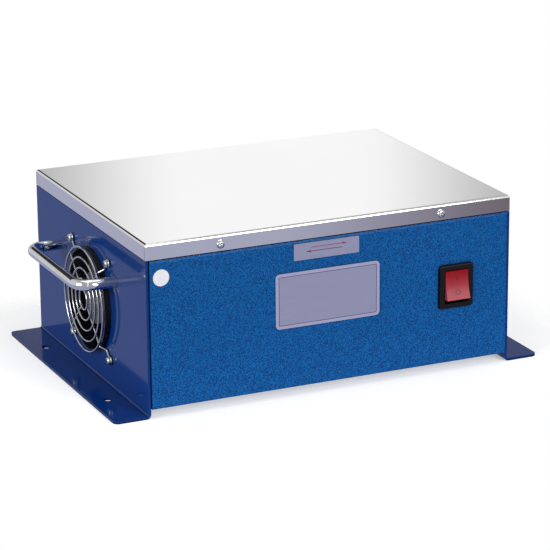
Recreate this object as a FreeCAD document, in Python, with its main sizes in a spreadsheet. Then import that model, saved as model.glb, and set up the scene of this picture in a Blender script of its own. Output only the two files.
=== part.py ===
import FreeCAD, Part
import math
import os
import re

import Sketcher
from FreeCAD import Placement, Rotation, Vector

# Plate demagnetiser: a sheet-steel box with two foot flanges, a polished top cover over a mains-driven
# magnet, a cooling fan in the left side and a rocker switch in the front panel.
# Millimetres. X runs along the front, Y to the back, Z up. The origin is the middle of the foot holes, on
# the surface that the feet stand on.

SIZES = {
    # casing
    "case_length": 280,
    "case_depth": 215,
    "case_height": 125,
    "side_sheet": 2,
    "bend_radius": 1.5,
    "foot_width": 25,
    "foot_corner": 4,
    "foot_hole": 7,
    "foot_hole_inset": 12.5,
    "foot_hole_pitch": 125,
    # front and rear panels
    "panel_sheet": 1.5,
    "panel_proud": 2,
    "panel_ground": 7,
    "panel_return": 14,
    "panel_edge": 1.2,
    "seam_gap": 0.4,
    # top cover
    "cover_sheet": 1.2,
    "cover_lip": 11.5,
    "cover_bend": 1.8,
    "cover_fit": 0.3,
    "cover_slit": 0.5,
    "lip_gap": 0.5,
    "cover_screw_pitch": 169.5,
    "cover_screw_drop": 6.8,
    "cover_screw": 3,
    "cover_screw_head": 6,
    "cover_head_height": 1.8,
    # base plate
    "base_sheet": 2,
    "base_fit": 1,
    "tab_pitch": 140,
    "tab_width": 28,
    "tab_height": 18,
    # fasteners
    "hole_fit": 0.5,
    "stud": 4,
    "stud_length": 9,
    "stud_low": 38,
    "stud_high": 92,
    "nut_flats": 7,
    "nut_height": 3.2,
    "washer": 9,
    "washer_sheet": 0.8,
    "head_width": 8,
    "head_height": 2.6,
    # handles
    "handle_rod": 8,
    "handle_pitch": 102,
    "handle_reach": 31,
    "handle_bend": 11,
    "handle_rise": 83,
    "handle_thread": 12,
    "thread_spare": 1,
    "thread_fit": 0.05,
    # fan
    "fan_size": 80,
    "fan_depth": 25,
    "fan_flange": 4,
    "fan_corner": 4,
    "fan_bore": 72,
    "collar_wall": 1.2,
    "collar_fit": 0.3,
    "collar_gap": 0.15,
    "fan_pitch": 71.5,
    "fan_across": -2.5,
    "fan_rise": 56.9,
    "fan_hole": 4.3,
    "fan_screw": 3,
    "fan_screw_head": 6,
    "fan_head_height": 2.2,
    "fan_nut_flats": 5.5,
    "fan_nut_height": 2.4,
    "fan_washer": 7,
    "hub_width": 38,
    "hub_wall": 2,
    "hub_setback": 0.2,
    "hub_depth": 20.3,
    "blade_sheet": 1.4,
    "blade_tip_gap": 1,
    "blade_count": 7,
    "root_chord": 19,
    "tip_chord": 25,
    "root_pitch": 42,
    "tip_pitch": 26,
    "strut_width": 5,
    "strut_depth": 3,
    "shaft_width": 3,
    "shaft_fit": 0.04,
    "run_gap": 0.4,
    "bearing_width": 7,
    "bearing_length": 11,
    "tube_width": 10,
    "stator_width": 31,
    "stator_height": 8,
    "stator_slot": 5,
    "stator_lift": 1,
    # fan guard
    "wire": 1.5,
    "guard_height": 7,
    "guard_outer": 37.9,
    "guard_rings": 5,
    "guard_step": 7.6,
    "guard_slope": 4.5,
    "weld_sink": 0.25,
    "guard_end": 8,
    "eye_width": 5.2,
    # vent slots in the right side panel
    "slot_width": 3.5,
    "slot_height": 50,
    "slot_pitch": 9,
    "slot_count": 9,
    # rocker switch
    "switch_inset": 44.2,
    "switch_rise": 64.3,
    "bezel_width": 26.6,
    "bezel_height": 31.7,
    "bezel_proud": 2.2,
    "bezel_corner": 2,
    "switch_width": 22,
    "switch_height": 28,
    "switch_depth": 21,
    "well_width": 18.8,
    "well_height": 25,
    "well_depth": 12,
    "pivot_depth": 3.5,
    "pivot_pin": 2.4,
    "pivot_fit": 0.06,
    "pin_length": 1.2,
    "rocker_width": 18,
    "rocker_height": 21,
    "rocker_front": 8,
    "rocker_hollow": 1.3,
    "rocker_tilt": 10,
    "blade_width": 6.3,
    "blade_length": 9,
    "blade_gauge": 0.8,
    # magnet
    "coil_clear": 10.4,
    "leg_width": 36,
    "core_stack": 80,
    "yoke_height": 30,
    "pole_gap": 2.8,
    "coil_build": 12,
    "winding_margin": 1.2,
    "bobbin_wall": 2,
    "bobbin_flange": 2.5,
    "bobbin_fit": 0.4,
    "coil_corner": 8,
    "clamp_leg": 24,
    "clamp_sheet": 3,
    "clamp_length": 150,
    "clamp_bolt": 6,
    "clamp_bolt_pitch": 44,
    "foot_bolt_pitch": 120,
    "bolt_flats": 10,
    "bolt_head": 4,
    "bolt_nut": 5,
    "bolt_spare": 2,
    # wiring
    "block_inset": 11.5,
    "block_back": 40,
    "block_width": 17,
    "block_length": 46,
    "block_height": 16,
    "block_ways": 4,
    "way_width": 5.75,
    "terminal_screw": 4.8,
    "cutout_width": 18,
    "cutout_height": 10,
    "cutout_depth": 6,
    "earth_inset": 80,
    "earth_rise": 32,
    "gland_inset": 45,
    "gland_rise": 34,
    "gland_thread": 16,
    "gland_bore": 8,
    "gland_flats": 22,
    "gland_collar": 6,
    "gland_cap_length": 12,
    "gland_cap_width": 20,
    "cap_straight": 7.2,
    "cap_mouth": 14.4,
    "locknut_height": 5,
    # plates on the front panel
    "name_plate_width": 80,
    "name_plate_height": 40,
    "name_plate_across": -4.8,
    "plate_sheet": 0.6,
    "name_plate_corner": 3,
    "arrow_plate_width": 50,
    "arrow_plate_height": 12,
    "arrow_plate_corner": 0.6,
    "arrow_plate_across": -5.8,
    "arrow_plate_drop": 7.6,
    "plate_spacing": 8.1,
    "label_width": 11.8,
    "label_inset": 10.4,
    "label_drop": 12,
    "label_sheet": 0.2,
    # inside leads
    "lead_width": 2.5,
    "lead_bend": 7,
    "short_bend": 2.5,
    "lead_rise": 6,
    "lead_step": 8,
    "lead_lane": 14,
}

doc = FreeCAD.newDocument("demagnetiser")
sheet = doc.addObject("Spreadsheet::Sheet", "Sizes")
for row, (size_name, size) in enumerate(SIZES.items(), start=1):
    sheet.set(f"A{row}", size_name)
    sheet.set(f"B{row}", str(size))
    sheet.setAlias(f"B{row}", size_name)
doc.recompute()

# Planes and edges that several pieces share, as formulas of the sizes.
SIDE_OUT = "case_length / 2"
SIDE_IN = "(case_length / 2 - side_sheet)"
SHOULDER = "(case_height - cover_lip - lip_gap)"
UPSTAND_TOP = "(case_height - cover_sheet - cover_fit)"
PANEL_FACE = "(case_depth / 2 + panel_proud)"
PANEL_BACK = "(case_depth / 2 + panel_proud - panel_sheet)"
PANEL_END = "(case_length / 2 - side_sheet - seam_gap)"
PANEL_UPSTAND = "(case_depth / 2 - cover_sheet - cover_fit)"
BASE_UNDER = "(panel_ground + panel_sheet)"
BASE_TOP = "(panel_ground + panel_sheet + base_sheet)"
STUD_LINE = "(case_depth / 2 + panel_proud - panel_return / 2 - panel_sheet / 2)"
TAB_STUD = "(panel_ground + panel_sheet + base_sheet / 2 + tab_height / 2)"
COVER_SCREW_Z = "(case_height - cover_screw_drop)"
FAN_CIRCLE = "(fan_pitch / sqrt(2))"
FAN_COLLAR = "(fan_bore + 2 * collar_wall)"
SWITCH_X = "(case_length / 2 - switch_inset)"
GLAND_X = "(case_length / 2 - gland_inset)"
EARTH_X = "(case_length / 2 - earth_inset)"
BLOCK_X = "(case_length / 2 - side_sheet - block_inset - block_width / 2)"
COIL_HALF = "(leg_width / 2 + bobbin_fit + bobbin_wall + coil_build)"
FAN_STACK = "(fan_depth + washer_sheet + fan_nut_height + fan_screw / 3)"
LEG_X = f"({SIDE_IN} - {FAN_STACK} - coil_clear - {COIL_HALF})"

nodes = []


def formula(text):
    """The text with each size's name pointed at its cell in the sheet."""
    return re.sub(r"[a-z_]+", lambda word: "Sizes." * (word.group() in SIZES) + word.group(), str(text))


def value(text):
    """What a formula comes to with the sheet as it stands."""
    return float(sheet.evalExpression(formula(text)))


def bind(thing, **properties):
    """Tie properties to formulas; two underscores stand for a dot."""
    for name, text in properties.items():
        thing.setExpression(name.replace("__", "."), formula(text))


def place(thing, across="0", back="0", rise="0", turn=Rotation()):
    """Put a piece where its formulas say, turned as given."""
    thing.Placement = Placement(Vector(value(across), value(back), value(rise)), turn)
    bind(thing, Placement__Base__x=across, Placement__Base__y=back, Placement__Base__z=rise)


def node(thing):
    """Count a finished piece among those that are written out."""
    nodes.append(thing)
    return thing


def new_body(label):
    body = doc.addObject("PartDesign::Body", label)
    body.Label = label
    return body


def origin_plane(body, role):
    return next(feature for feature in body.Origin.OriginFeatures if feature.Role == role)


def new_sketch(body, name, plane, offset="0"):
    """An empty sketch on one of the body's own planes, moved along its normal."""
    sketch = body.newObject("Sketcher::SketchObject", name)
    sketch.AttachmentSupport = [(origin_plane(body, plane), "")]
    sketch.MapMode = "FlatFace"
    bind(sketch, AttachmentOffset__Base__z=offset)
    return sketch


def hold_point(sketch, edge, end, across, up):
    """Hold one point of a sketch at a place given by two formulas."""
    for kind, text in (("DistanceX", across), ("DistanceY", up)):
        rule = sketch.addConstraint(Sketcher.Constraint(kind, -1, 1, edge, end, value(text)))
        sketch.setExpression(f"Constraints[{rule}]", formula(text))


def draw_outline(sketch, points):
    """A closed outline of straight lines through points given as pairs of formulas."""
    corners = [Vector(value(across), value(up), 0) for across, up in points]
    first = sketch.GeometryCount
    last = first + len(points) - 1
    for number, corner in enumerate(corners):
        sketch.addGeometry(Part.LineSegment(corner, corners[(number + 1) % len(corners)]))
    for edge in range(first, last + 1):
        after = first if edge == last else edge + 1
        sketch.addConstraint(Sketcher.Constraint("Coincident", edge, 2, after, 1))
    for edge, (across, up) in enumerate(points, start=first):
        hold_point(sketch, edge, 1, across, up)


def draw_box(sketch, left, low, right, high):
    draw_outline(sketch, [(left, low), (right, low), (right, high), (left, high)])


def draw_circle(sketch, across, up, diameter):
    circle = sketch.addGeometry(Part.Circle(Vector(value(across), value(up), 0), Vector(0, 0, 1), 1))
    hold_point(sketch, circle, 3, across, up)
    rule = sketch.addConstraint(Sketcher.Constraint("Diameter", circle, value(diameter)))
    sketch.setExpression(f"Constraints[{rule}]", formula(diameter))


def draw_hexagon(sketch, across, up, flats):
    """A regular hexagon with two corners level with its middle."""
    points = []
    for corner in range(6):
        angle = f"{corner * 60} deg"
        points.append((f"{across} + {flats} / sqrt(3) * cos({angle})",
                       f"{up} + {flats} / sqrt(3) * sin({angle})"))
    draw_outline(sketch, points)


def pad(body, name, sketch, length, both_ways=False, backwards=False):
    feature = body.newObject("PartDesign::Pad", name)
    feature.Profile = sketch
    feature.SideType = "Symmetric" if both_ways else "One side"
    feature.Reversed = backwards
    bind(feature, Length=length)
    doc.recompute()
    return feature


def pocket(body, name, sketch, depth=None, backwards=False):
    """Cut a sketch away, right through when no depth is given."""
    before = body.Shape.Volume
    feature = body.newObject("PartDesign::Pocket", name)
    feature.Profile = sketch
    feature.Reversed = backwards
    if depth is None:
        feature.SideType = "Symmetric"
        feature.Type = "ThroughAll"
    else:
        bind(feature, Length=depth)
    doc.recompute()
    if not body.Shape.Volume < before:
        raise RuntimeError(f"{body.Label}: {name} cut nothing")
    return feature


def edges_where(feature, test):
    """Names of the feature's edges whose middle and direction pass a test."""
    names = []
    for number, edge in enumerate(feature.Shape.Edges, start=1):
        straight = edge.Curve.TypeId == "Part::GeomLine"
        if straight and test(edge.CenterOfMass, edge.tangentAt(edge.FirstParameter)):
            names.append(f"Edge{number}")
    return names


def fillet(body, name, feature, radius, test):
    """Round the straight edges that pass a test."""
    rounded = body.newObject("PartDesign::Fillet", name)
    rounded.Base = (feature, edges_where(feature, test))
    bind(rounded, Radius=radius)
    doc.recompute()
    return rounded


def revolve(body, name, sketch, axis):
    feature = body.newObject("PartDesign::Revolution", name)
    feature.Profile = sketch
    feature.ReferenceAxis = (sketch, [axis])
    feature.Angle = 360
    doc.recompute()
    return feature


def mirrored(body, name, features, *planes):
    """Repeat features across one or two of the body's planes."""
    if len(planes) == 1:
        result = body.newObject("PartDesign::Mirrored", name)
        result.Originals = features
        result.MirrorPlane = (origin_plane(body, planes[0]), [""])
    else:
        result = body.newObject("PartDesign::MultiTransform", name)
        result.Originals = features
        steps = []
        for plane in planes:
            step = body.newObject("PartDesign::Mirrored", f"{name}_{plane}")
            step.MirrorPlane = (origin_plane(body, plane), [""])
            steps.append(step)
        result.Transformations = steps
    body.Tip = result
    doc.recompute()
    return result


def polar(body, name, features, sketch, count):
    """Repeat features round the normal through a sketch's origin."""
    result = body.newObject("PartDesign::PolarPattern", name)
    result.Originals = features
    result.Axis = (sketch, ["N_Axis"])
    result.Angle = 360
    bind(result, Occurrences=count)
    body.Tip = result
    doc.recompute()
    return result


def group(label, form, places):
    """One node of separate copies; each place is three formulas and a turn."""
    copies = []
    for across, back, rise, turn in places:
        copy = doc.addObject("App::Link", f"{label}_copy")
        copy.LinkedObject = form
        place(copy, across, back, rise, turn)
        copies.append(copy)
    whole = doc.addObject("Part::Compound", label)
    whole.Label = label
    whole.Links = copies
    doc.recompute()
    return node(whole)


# Turns that point a form's Z axis along another direction.
TO_RIGHT = Rotation(Vector(0, 1, 0), 90)
TO_LEFT = Rotation(Vector(0, 1, 0), -90)
TO_FRONT = Rotation(Vector(1, 0, 0), 90)
TO_BACK = Rotation(Vector(1, 0, 0), -90)
UPRIGHT = Rotation()
UPSIDE_DOWN = Rotation(Vector(1, 0, 0), 180)


# A round screw head stands straight for this share of its height, then slopes in to this share of its width.
HEAD_STRAIGHT = 0.4
HEAD_TOP = 0.56


def screw_form(label, thread, length, head_width, head_height):
    """A round-headed screw: head above Z = 0, shank below."""
    body = new_body(label)
    profile = new_sketch(body, f"{label}_half", "XZ_Plane")
    draw_outline(profile, [
        ("0", f"-({length})"),
        (f"{thread} / 2", f"-({length})"),
        (f"{thread} / 2", "0"),
        (f"{head_width} / 2", "0"),
        (f"{head_width} / 2", f"{head_height} * {HEAD_STRAIGHT}"),
        (f"{head_width} / 2 * {HEAD_TOP}", head_height),
        ("0", head_height),
    ])
    revolve(body, f"{label}_turned", profile, "V_Axis")
    return body


def hex_form(label, flats, height, hole=None):
    """A hexagon standing on Z = 0, with a hole if it is a nut."""
    body = new_body(label)
    profile = new_sketch(body, f"{label}_outline", "XY_Plane")
    draw_hexagon(profile, "0", "0", flats)
    if hole:
        draw_circle(profile, "0", "0", hole)
    pad(body, f"{label}_block", profile, height)
    return body


def ring_form(label, outer, inner, height):
    """A flat ring standing on Z = 0."""
    body = new_body(label)
    profile = new_sketch(body, f"{label}_outline", "XY_Plane")
    draw_circle(profile, "0", "0", outer)
    draw_circle(profile, "0", "0", inner)
    pad(body, f"{label}_disc", profile, height)
    return body


def rod_form(label, diameter, length):
    """A plain round rod standing on Z = 0."""
    rod = doc.addObject("Part::Cylinder", label)
    bind(rod, Radius=f"{diameter} / 2", Height=length)
    doc.recompute()
    return rod


def same(one, other):
    return abs(one - other) < 0.01


def along_y(direction):
    return abs(direction.y) > 0.99


def along_z(direction):
    return abs(direction.z) > 0.99


def side_panel(label, side):
    """A side wall folded out at the bottom into a foot, and set in behind the cover's lip at the top."""
    def out(text):
        return f"{side} * ({text})"

    body = new_body(label)
    wall = new_sketch(body, f"{label}_wall_outline", "XZ_Plane")
    draw_outline(wall, [
        (out(f"{SIDE_OUT} + foot_width"), "0"),
        (out(SIDE_IN), "0"),
        (out(SIDE_IN), SHOULDER),
        (out(SIDE_OUT), SHOULDER),
        (out(SIDE_OUT), "side_sheet"),
        (out(f"{SIDE_OUT} + foot_width"), "side_sheet"),
    ])
    bent = pad(body, f"{label}_wall", wall, "case_depth", both_ways=True)

    foot_x = side * value(SIDE_OUT)
    sheet_z = value("side_sheet")
    inner_x = side * value(SIDE_IN)
    foot_tip = side * value(f"{SIDE_OUT} + foot_width")
    bent = fillet(body, f"{label}_bend_in", bent, "bend_radius",
                  lambda middle, way: along_y(way) and same(middle.x, foot_x) and same(middle.z, sheet_z))
    bent = fillet(body, f"{label}_bend_out", bent, "bend_radius + side_sheet",
                  lambda middle, way: along_y(way) and same(middle.x, inner_x) and same(middle.z, 0))
    fillet(body, f"{label}_foot_corners", bent, "foot_corner",
           lambda middle, way: along_z(way) and same(middle.x, foot_tip))

    upstand = new_sketch(body, f"{label}_upstand_outline", "XZ_Plane")
    upstand_out = f"{SIDE_OUT} - cover_sheet - cover_fit"
    draw_outline(upstand, [
        (out(f"{upstand_out} - side_sheet"), f"{SHOULDER} - side_sheet"),
        (out(SIDE_IN), f"{SHOULDER} - side_sheet"),
        (out(SIDE_IN), SHOULDER),
        (out(upstand_out), SHOULDER),
        (out(upstand_out), UPSTAND_TOP),
        (out(f"{upstand_out} - side_sheet"), UPSTAND_TOP),
    ])
    pad(body, f"{label}_upstand", upstand, f"2 * ({PANEL_UPSTAND} - panel_sheet - base_fit)", both_ways=True)

    foot_holes = new_sketch(body, f"{label}_foot_hole_places", "XY_Plane")
    hole_line = out(f"{SIDE_OUT} + foot_hole_inset")
    for end in (-1, 1):
        draw_circle(foot_holes, hole_line, f"{end} * foot_hole_pitch / 2", "foot_hole")
    pocket(body, f"{label}_foot_holes", foot_holes)

    handle_holes = new_sketch(body, f"{label}_handle_hole_places", "YZ_Plane")
    for end in (-1, 1):
        draw_circle(handle_holes, f"{end} * handle_pitch / 2", "handle_rise", "stud + hole_fit")
    pocket(body, f"{label}_handle_holes", handle_holes)
    return node(body)


def cut_fan_opening(body):
    """The round air inlet and its four screw holes."""
    inlet = new_sketch(body, "fan_inlet_outline", "YZ_Plane")
    draw_circle(inlet, "fan_across", "fan_rise", f"{FAN_COLLAR} + 2 * collar_fit")
    for across in (-1, 1):
        for up in (-1, 1):
            draw_circle(inlet, f"fan_across + {across} * fan_pitch / 2", f"fan_rise + {up} * fan_pitch / 2",
                        "fan_hole")
    pocket(body, "fan_inlet", inlet)


def cut_vent_slots(body):
    """A row of upright air outlet slots, opposite the fan."""
    slot = new_sketch(body, "vent_slot_outline", "YZ_Plane")
    first = "fan_across - (slot_count - 1) * slot_pitch / 2"
    draw_box(slot, f"{first} - slot_width / 2", "fan_rise - slot_height / 2",
             f"{first} + slot_width / 2", "fan_rise + slot_height / 2")
    first_slot = pocket(body, "vent_slot", slot)
    row = body.newObject("PartDesign::LinearPattern", "vent_slots")
    row.Originals = [first_slot]
    row.Direction = (slot, ["H_Axis"])
    bind(row, Length="(slot_count - 1) * slot_pitch", Occurrences="slot_count")
    body.Tip = row
    doc.recompute()


def end_panel(label, end):
    """The front or rear wall: proud of the sides, with a bottom return and a step behind the cover's lip."""
    def out(text):
        return f"{end} * ({text})"

    body = new_body(label)
    section = new_sketch(body, f"{label}_section", "YZ_Plane")
    draw_outline(section, [
        (out(PANEL_FACE), "panel_ground"),
        (out(PANEL_FACE), SHOULDER),
        (out(PANEL_UPSTAND), SHOULDER),
        (out(PANEL_UPSTAND), UPSTAND_TOP),
        (out(f"{PANEL_UPSTAND} - panel_sheet"), UPSTAND_TOP),
        (out(f"{PANEL_UPSTAND} - panel_sheet"), f"{SHOULDER} - panel_sheet"),
        (out(PANEL_BACK), f"{SHOULDER} - panel_sheet"),
        (out(PANEL_BACK), BASE_UNDER),
        (out(f"{PANEL_FACE} - panel_return"), BASE_UNDER),
        (out(f"{PANEL_FACE} - panel_return"), "panel_ground"),
    ])
    folded = pad(body, f"{label}_sheet", section, f"2 * {PANEL_END}", both_ways=True)
    face_y = end * value(PANEL_FACE)
    fillet(body, f"{label}_edges", folded, "panel_edge", lambda middle, way: same(middle.y, face_y))

    flange = new_sketch(body, f"{label}_flange_outline", "YZ_Plane", PANEL_END)
    draw_box(flange, out(f"{PANEL_BACK} + panel_sheet / 4"), f"{BASE_TOP} + base_fit",
             out(f"{PANEL_FACE} - panel_return"), f"{SHOULDER} - panel_sheet - base_fit")
    folded_end = pad(body, f"{label}_flange", flange, "panel_sheet", backwards=True)
    mirrored(body, f"{label}_flanges", [folded_end], "YZ_Plane")

    stud_holes = new_sketch(body, f"{label}_stud_hole_places", "YZ_Plane")
    for rise in ("stud_low", "stud_high"):
        draw_circle(stud_holes, out(STUD_LINE), rise, "stud + hole_fit")
    pocket(body, f"{label}_stud_holes", stud_holes)

    screw_holes = new_sketch(body, f"{label}_screw_hole_places", "XZ_Plane")
    for side in (-1, 1):
        draw_circle(screw_holes, f"{side} * cover_screw_pitch / 2", COVER_SCREW_Z, "cover_screw + hole_fit")
    pocket(body, f"{label}_screw_holes", screw_holes)
    return node(body)


def cut_switch_opening(body):
    opening = new_sketch(body, "switch_opening_outline", "XZ_Plane")
    half_width = "(switch_width + hole_fit) / 2"
    half_height = "(switch_height + hole_fit) / 2"
    draw_box(opening, f"{SWITCH_X} - {half_width}", f"switch_rise - {half_height}",
             f"{SWITCH_X} + {half_width}", f"switch_rise + {half_height}")
    pocket(body, "switch_opening", opening)


def cut_gland_opening(body):
    opening = new_sketch(body, "gland_opening_outline", "XZ_Plane")
    draw_circle(opening, GLAND_X, "gland_rise", "gland_thread + hole_fit")
    draw_circle(opening, EARTH_X, "earth_rise", "stud + hole_fit")
    pocket(body, "gland_opening", opening)


def top_cover():
    """A shallow stainless tray: flat top, four folded lips that stay open at the corners."""
    body = new_body("top_cover")
    blank = new_sketch(body, "cover_outline", "XY_Plane", "case_height")
    draw_box(blank, f"-{SIDE_OUT}", "-case_depth / 2", SIDE_OUT, "case_depth / 2")
    block = pad(body, "cover_block", blank, "cover_lip", backwards=True)
    top = value("case_height")
    fillet(body, "cover_bends", block, "cover_bend", lambda middle, way: same(middle.z, top))

    hollow = new_sketch(body, "cover_hollow_outline", "XY_Plane", "case_height - cover_lip")
    inner_x = f"{SIDE_OUT} - cover_sheet"
    inner_y = "case_depth / 2 - cover_sheet"
    draw_box(hollow, f"-({inner_x})", f"-({inner_y})", inner_x, inner_y)
    pocket(body, "cover_hollow", hollow, "cover_lip - cover_sheet", backwards=True)

    slit = new_sketch(body, "cover_slit_outline", "XY_Plane", "case_height - cover_lip")
    draw_box(slit, inner_x, f"{inner_y} - cover_slit", f"{SIDE_OUT} + cover_fit", f"{inner_y}")
    first = pocket(body, "cover_slit_cut", slit, "cover_lip - cover_bend", backwards=True)
    mirrored(body, "cover_slits", [first], "XZ_Plane", "YZ_Plane")

    holes = new_sketch(body, "cover_hole_places", "XZ_Plane")
    for side in (-1, 1):
        draw_circle(holes, f"{side} * cover_screw_pitch / 2", COVER_SCREW_Z, "cover_screw + hole_fit")
    pocket(body, "cover_holes", holes)
    return node(body)


def base_plate():
    """The floor that carries the magnet: laid on the panels' returns and bolted to the sides by tabs."""
    body = new_body("base_plate")
    floor = new_sketch(body, "floor_outline", "XY_Plane", BASE_UNDER)
    half_depth = f"({PANEL_BACK} - base_fit)"
    draw_box(floor, f"-({SIDE_IN} - base_sheet)", f"-{half_depth}", f"{SIDE_IN} - base_sheet", half_depth)
    pad(body, "floor_sheet", floor, "base_sheet")

    tab = new_sketch(body, "tab_outline", "YZ_Plane", SIDE_IN)
    draw_box(tab, "tab_pitch / 2 - tab_width / 2", BASE_UNDER,
             "tab_pitch / 2 + tab_width / 2", f"{BASE_TOP} + tab_height")
    first = pad(body, "tab", tab, "base_sheet", backwards=True)
    tabs = mirrored(body, "tabs", [first], "XZ_Plane", "YZ_Plane")
    under = value(BASE_UNDER)
    edge_x = value(SIDE_IN)
    fillet(body, "tab_bends", tabs, "base_sheet / 2",
           lambda middle, way: along_y(way) and same(middle.z, under) and same(abs(middle.x), edge_x))

    stud_holes = new_sketch(body, "tab_stud_places", "YZ_Plane")
    for end in (-1, 1):
        draw_circle(stud_holes, f"{end} * tab_pitch / 2", TAB_STUD, "stud + hole_fit")
    pocket(body, "tab_stud_holes", stud_holes)

    bolt_holes = new_sketch(body, "clamp_foot_places", "XY_Plane")
    for across, back in clamp_foot_places():
        draw_circle(bolt_holes, across, back, "clamp_bolt + hole_fit")
    pocket(body, "clamp_foot_holes", bolt_holes)
    return node(body)


def clamp_foot_places():
    """Where the core clamps bolt down to the base plate."""
    back = "core_stack / 2 + clamp_sheet + (clamp_leg - clamp_sheet) / 2"
    return [(f"{side} * foot_bolt_pitch / 2", f"{end} * ({back})") for side in (-1, 1) for end in (-1, 1)]


def draw_bent_path(sketch, stops, radius):
    """An open path of straight runs, one pair of held points each, joined by arcs of one radius."""
    points = [Vector(value(across), value(up), 0) for across, up in stops]
    runs = []
    for start in range(0, len(stops), 2):
        run = sketch.addGeometry(Part.LineSegment(points[start], points[start + 1]))
        hold_point(sketch, run, 1, *stops[start])
        hold_point(sketch, run, 2, *stops[start + 1])
        runs.append(run)
    for number, (before, after) in enumerate(zip(runs, runs[1:])):
        leave = points[2 * number + 1]
        arrive = points[2 * number + 2]
        heading = (leave - points[2 * number]).normalize()
        chord = arrive - leave
        centre = leave + (chord - heading * heading.dot(chord)).normalize() * value(radius)
        turns_left = heading.cross(chord).z > 0
        ends = [math.atan2(point.y - centre.y, point.x - centre.x) for point in (leave, arrive)]
        circle = Part.Circle(centre, Vector(0, 0, 1), value(radius))
        arc = sketch.addGeometry(Part.ArcOfCircle(circle, *(ends if turns_left else reversed(ends))))
        first = 1 if turns_left else 2
        sketch.addConstraint(Sketcher.Constraint("Coincident", before, 2, arc, first))
        sketch.addConstraint(Sketcher.Constraint("Coincident", arc, 3 - first, after, 1))
        rule = sketch.addConstraint(Sketcher.Constraint("Radius", arc, value(radius)))
        sketch.setExpression(f"Constraints[{rule}]", formula(radius))


def handle(label, side):
    """A round rod bent to a wide U, with a tapped hole in each end."""
    body = new_body(label)
    path = new_sketch(body, f"{label}_path", "XY_Plane")
    half = "handle_pitch / 2"
    bar = f"{side} * (handle_reach - handle_rod / 2)"
    leg_end = f"{side} * (handle_reach - handle_rod / 2 - handle_bend)"
    draw_bent_path(path, [
        ("0", f"-{half}"),
        (leg_end, f"-{half}"),
        (bar, f"-{half} + handle_bend"),
        (bar, f"{half} - handle_bend"),
        (leg_end, half),
        ("0", half),
    ], "handle_bend")
    section = new_sketch(body, f"{label}_section", "YZ_Plane")
    draw_circle(section, "-handle_pitch / 2", "0", "handle_rod")
    doc.recompute()
    rod = body.newObject("PartDesign::AdditivePipe", f"{label}_rod")
    rod.Profile = section
    rod.Spine = path
    doc.recompute()

    thread = new_sketch(body, f"{label}_thread_places", "YZ_Plane")
    for end in (-1, 1):
        draw_circle(thread, f"{end} * handle_pitch / 2", "0", "stud + 2 * thread_fit")
    pocket(body, f"{label}_threads", thread, "handle_thread", backwards=side > 0)
    place(body, across=f"{side} * {SIDE_OUT}", rise="handle_rise")
    return node(body)


# The fan is drawn with its axis on Z and its outer face on Z = 0, and is then turned to look out of the left
# side. Screws and guard legs sit on the diagonals, so they are drawn on X and turned by an eighth more.
DIAGONAL = TO_RIGHT.multiply(Rotation(Vector(0, 0, 1), 45))


def place_fan_piece(body, turn=TO_RIGHT):
    place(body, across=f"-{SIDE_IN}", back="fan_across", rise="fan_rise", turn=turn)
    return node(body)


def fan_frame():
    """Two square flanges on a round duct that ends in a collar outside, with the motor on struts inside."""
    body = new_body("fan_frame")
    near_side = new_sketch(body, "near_flange_outline", "XY_Plane")
    draw_box(near_side, "-fan_size / 2", "-fan_size / 2", "fan_size / 2", "fan_size / 2")
    pad(body, "near_flange", near_side, "fan_flange")
    far = new_sketch(body, "far_flange_outline", "XY_Plane", "fan_depth")
    draw_box(far, "-fan_size / 2", "-fan_size / 2", "fan_size / 2", "fan_size / 2")
    duct = new_sketch(body, "duct_outline", "XY_Plane")
    draw_circle(duct, "0", "0", "fan_size")
    pad(body, "duct", duct, "fan_depth")
    flanges = pad(body, "far_flange", far, "fan_flange", backwards=True)
    reach = value("fan_size / 2")
    fillet(body, "frame_corners", flanges, "fan_corner",
           lambda middle, way: along_z(way) and same(abs(middle.x), reach) and same(abs(middle.y), reach))
    collar = new_sketch(body, "collar_outline", "XY_Plane")
    draw_circle(collar, "0", "0", FAN_COLLAR)
    draw_circle(collar, "0", "0", "fan_bore")
    under_guard = "guard_height - 2 * wire + weld_sink - collar_gap"
    pad(body, "collar", collar, f"side_sheet + {under_guard}", backwards=True)
    bore = new_sketch(body, "bore_outline", "XY_Plane")
    draw_circle(bore, "0", "0", "fan_bore")
    for across in (-1, 1):
        for up in (-1, 1):
            draw_circle(bore, f"{across} * fan_pitch / 2", f"{up} * fan_pitch / 2", "fan_hole")
    pocket(body, "bore", bore)

    motor_mount = new_sketch(body, "motor_mount_outline", "XY_Plane", "fan_depth")
    draw_circle(motor_mount, "0", "0", "hub_width")
    pad(body, "motor_mount", motor_mount, "strut_depth", backwards=True)
    strut = new_sketch(body, "strut_outline", "XY_Plane", "fan_depth")
    draw_box(strut, "hub_width / 4", "-strut_width / 2", "(fan_bore + fan_size) / 4", "strut_width / 2")
    first = pad(body, "strut", strut, "strut_depth", backwards=True)
    polar(body, "struts", [first], strut, 4)
    tube = new_sketch(body, "bearing_tube_outline", "XY_Plane", "fan_depth - strut_depth")
    draw_circle(tube, "0", "0", "tube_width")
    pad(body, "bearing_tube", tube, "bearing_length", backwards=True)
    tube_bore = new_sketch(body, "bearing_seat_outline", "XY_Plane", "fan_depth - strut_depth")
    draw_circle(tube_bore, "0", "0", "bearing_width")
    pocket(body, "bearing_seat", tube_bore, "bearing_length")
    return place_fan_piece(body)


def fan_bearing():
    body = ring_form("fan_bearing", "bearing_width", "shaft_width + 2 * shaft_fit", "bearing_length")
    turned_in = f"-{SIDE_IN} + fan_depth - strut_depth - bearing_length"
    place(body, across=turned_in, back="fan_across", rise="fan_rise", turn=TO_RIGHT)
    return node(body)


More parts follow.
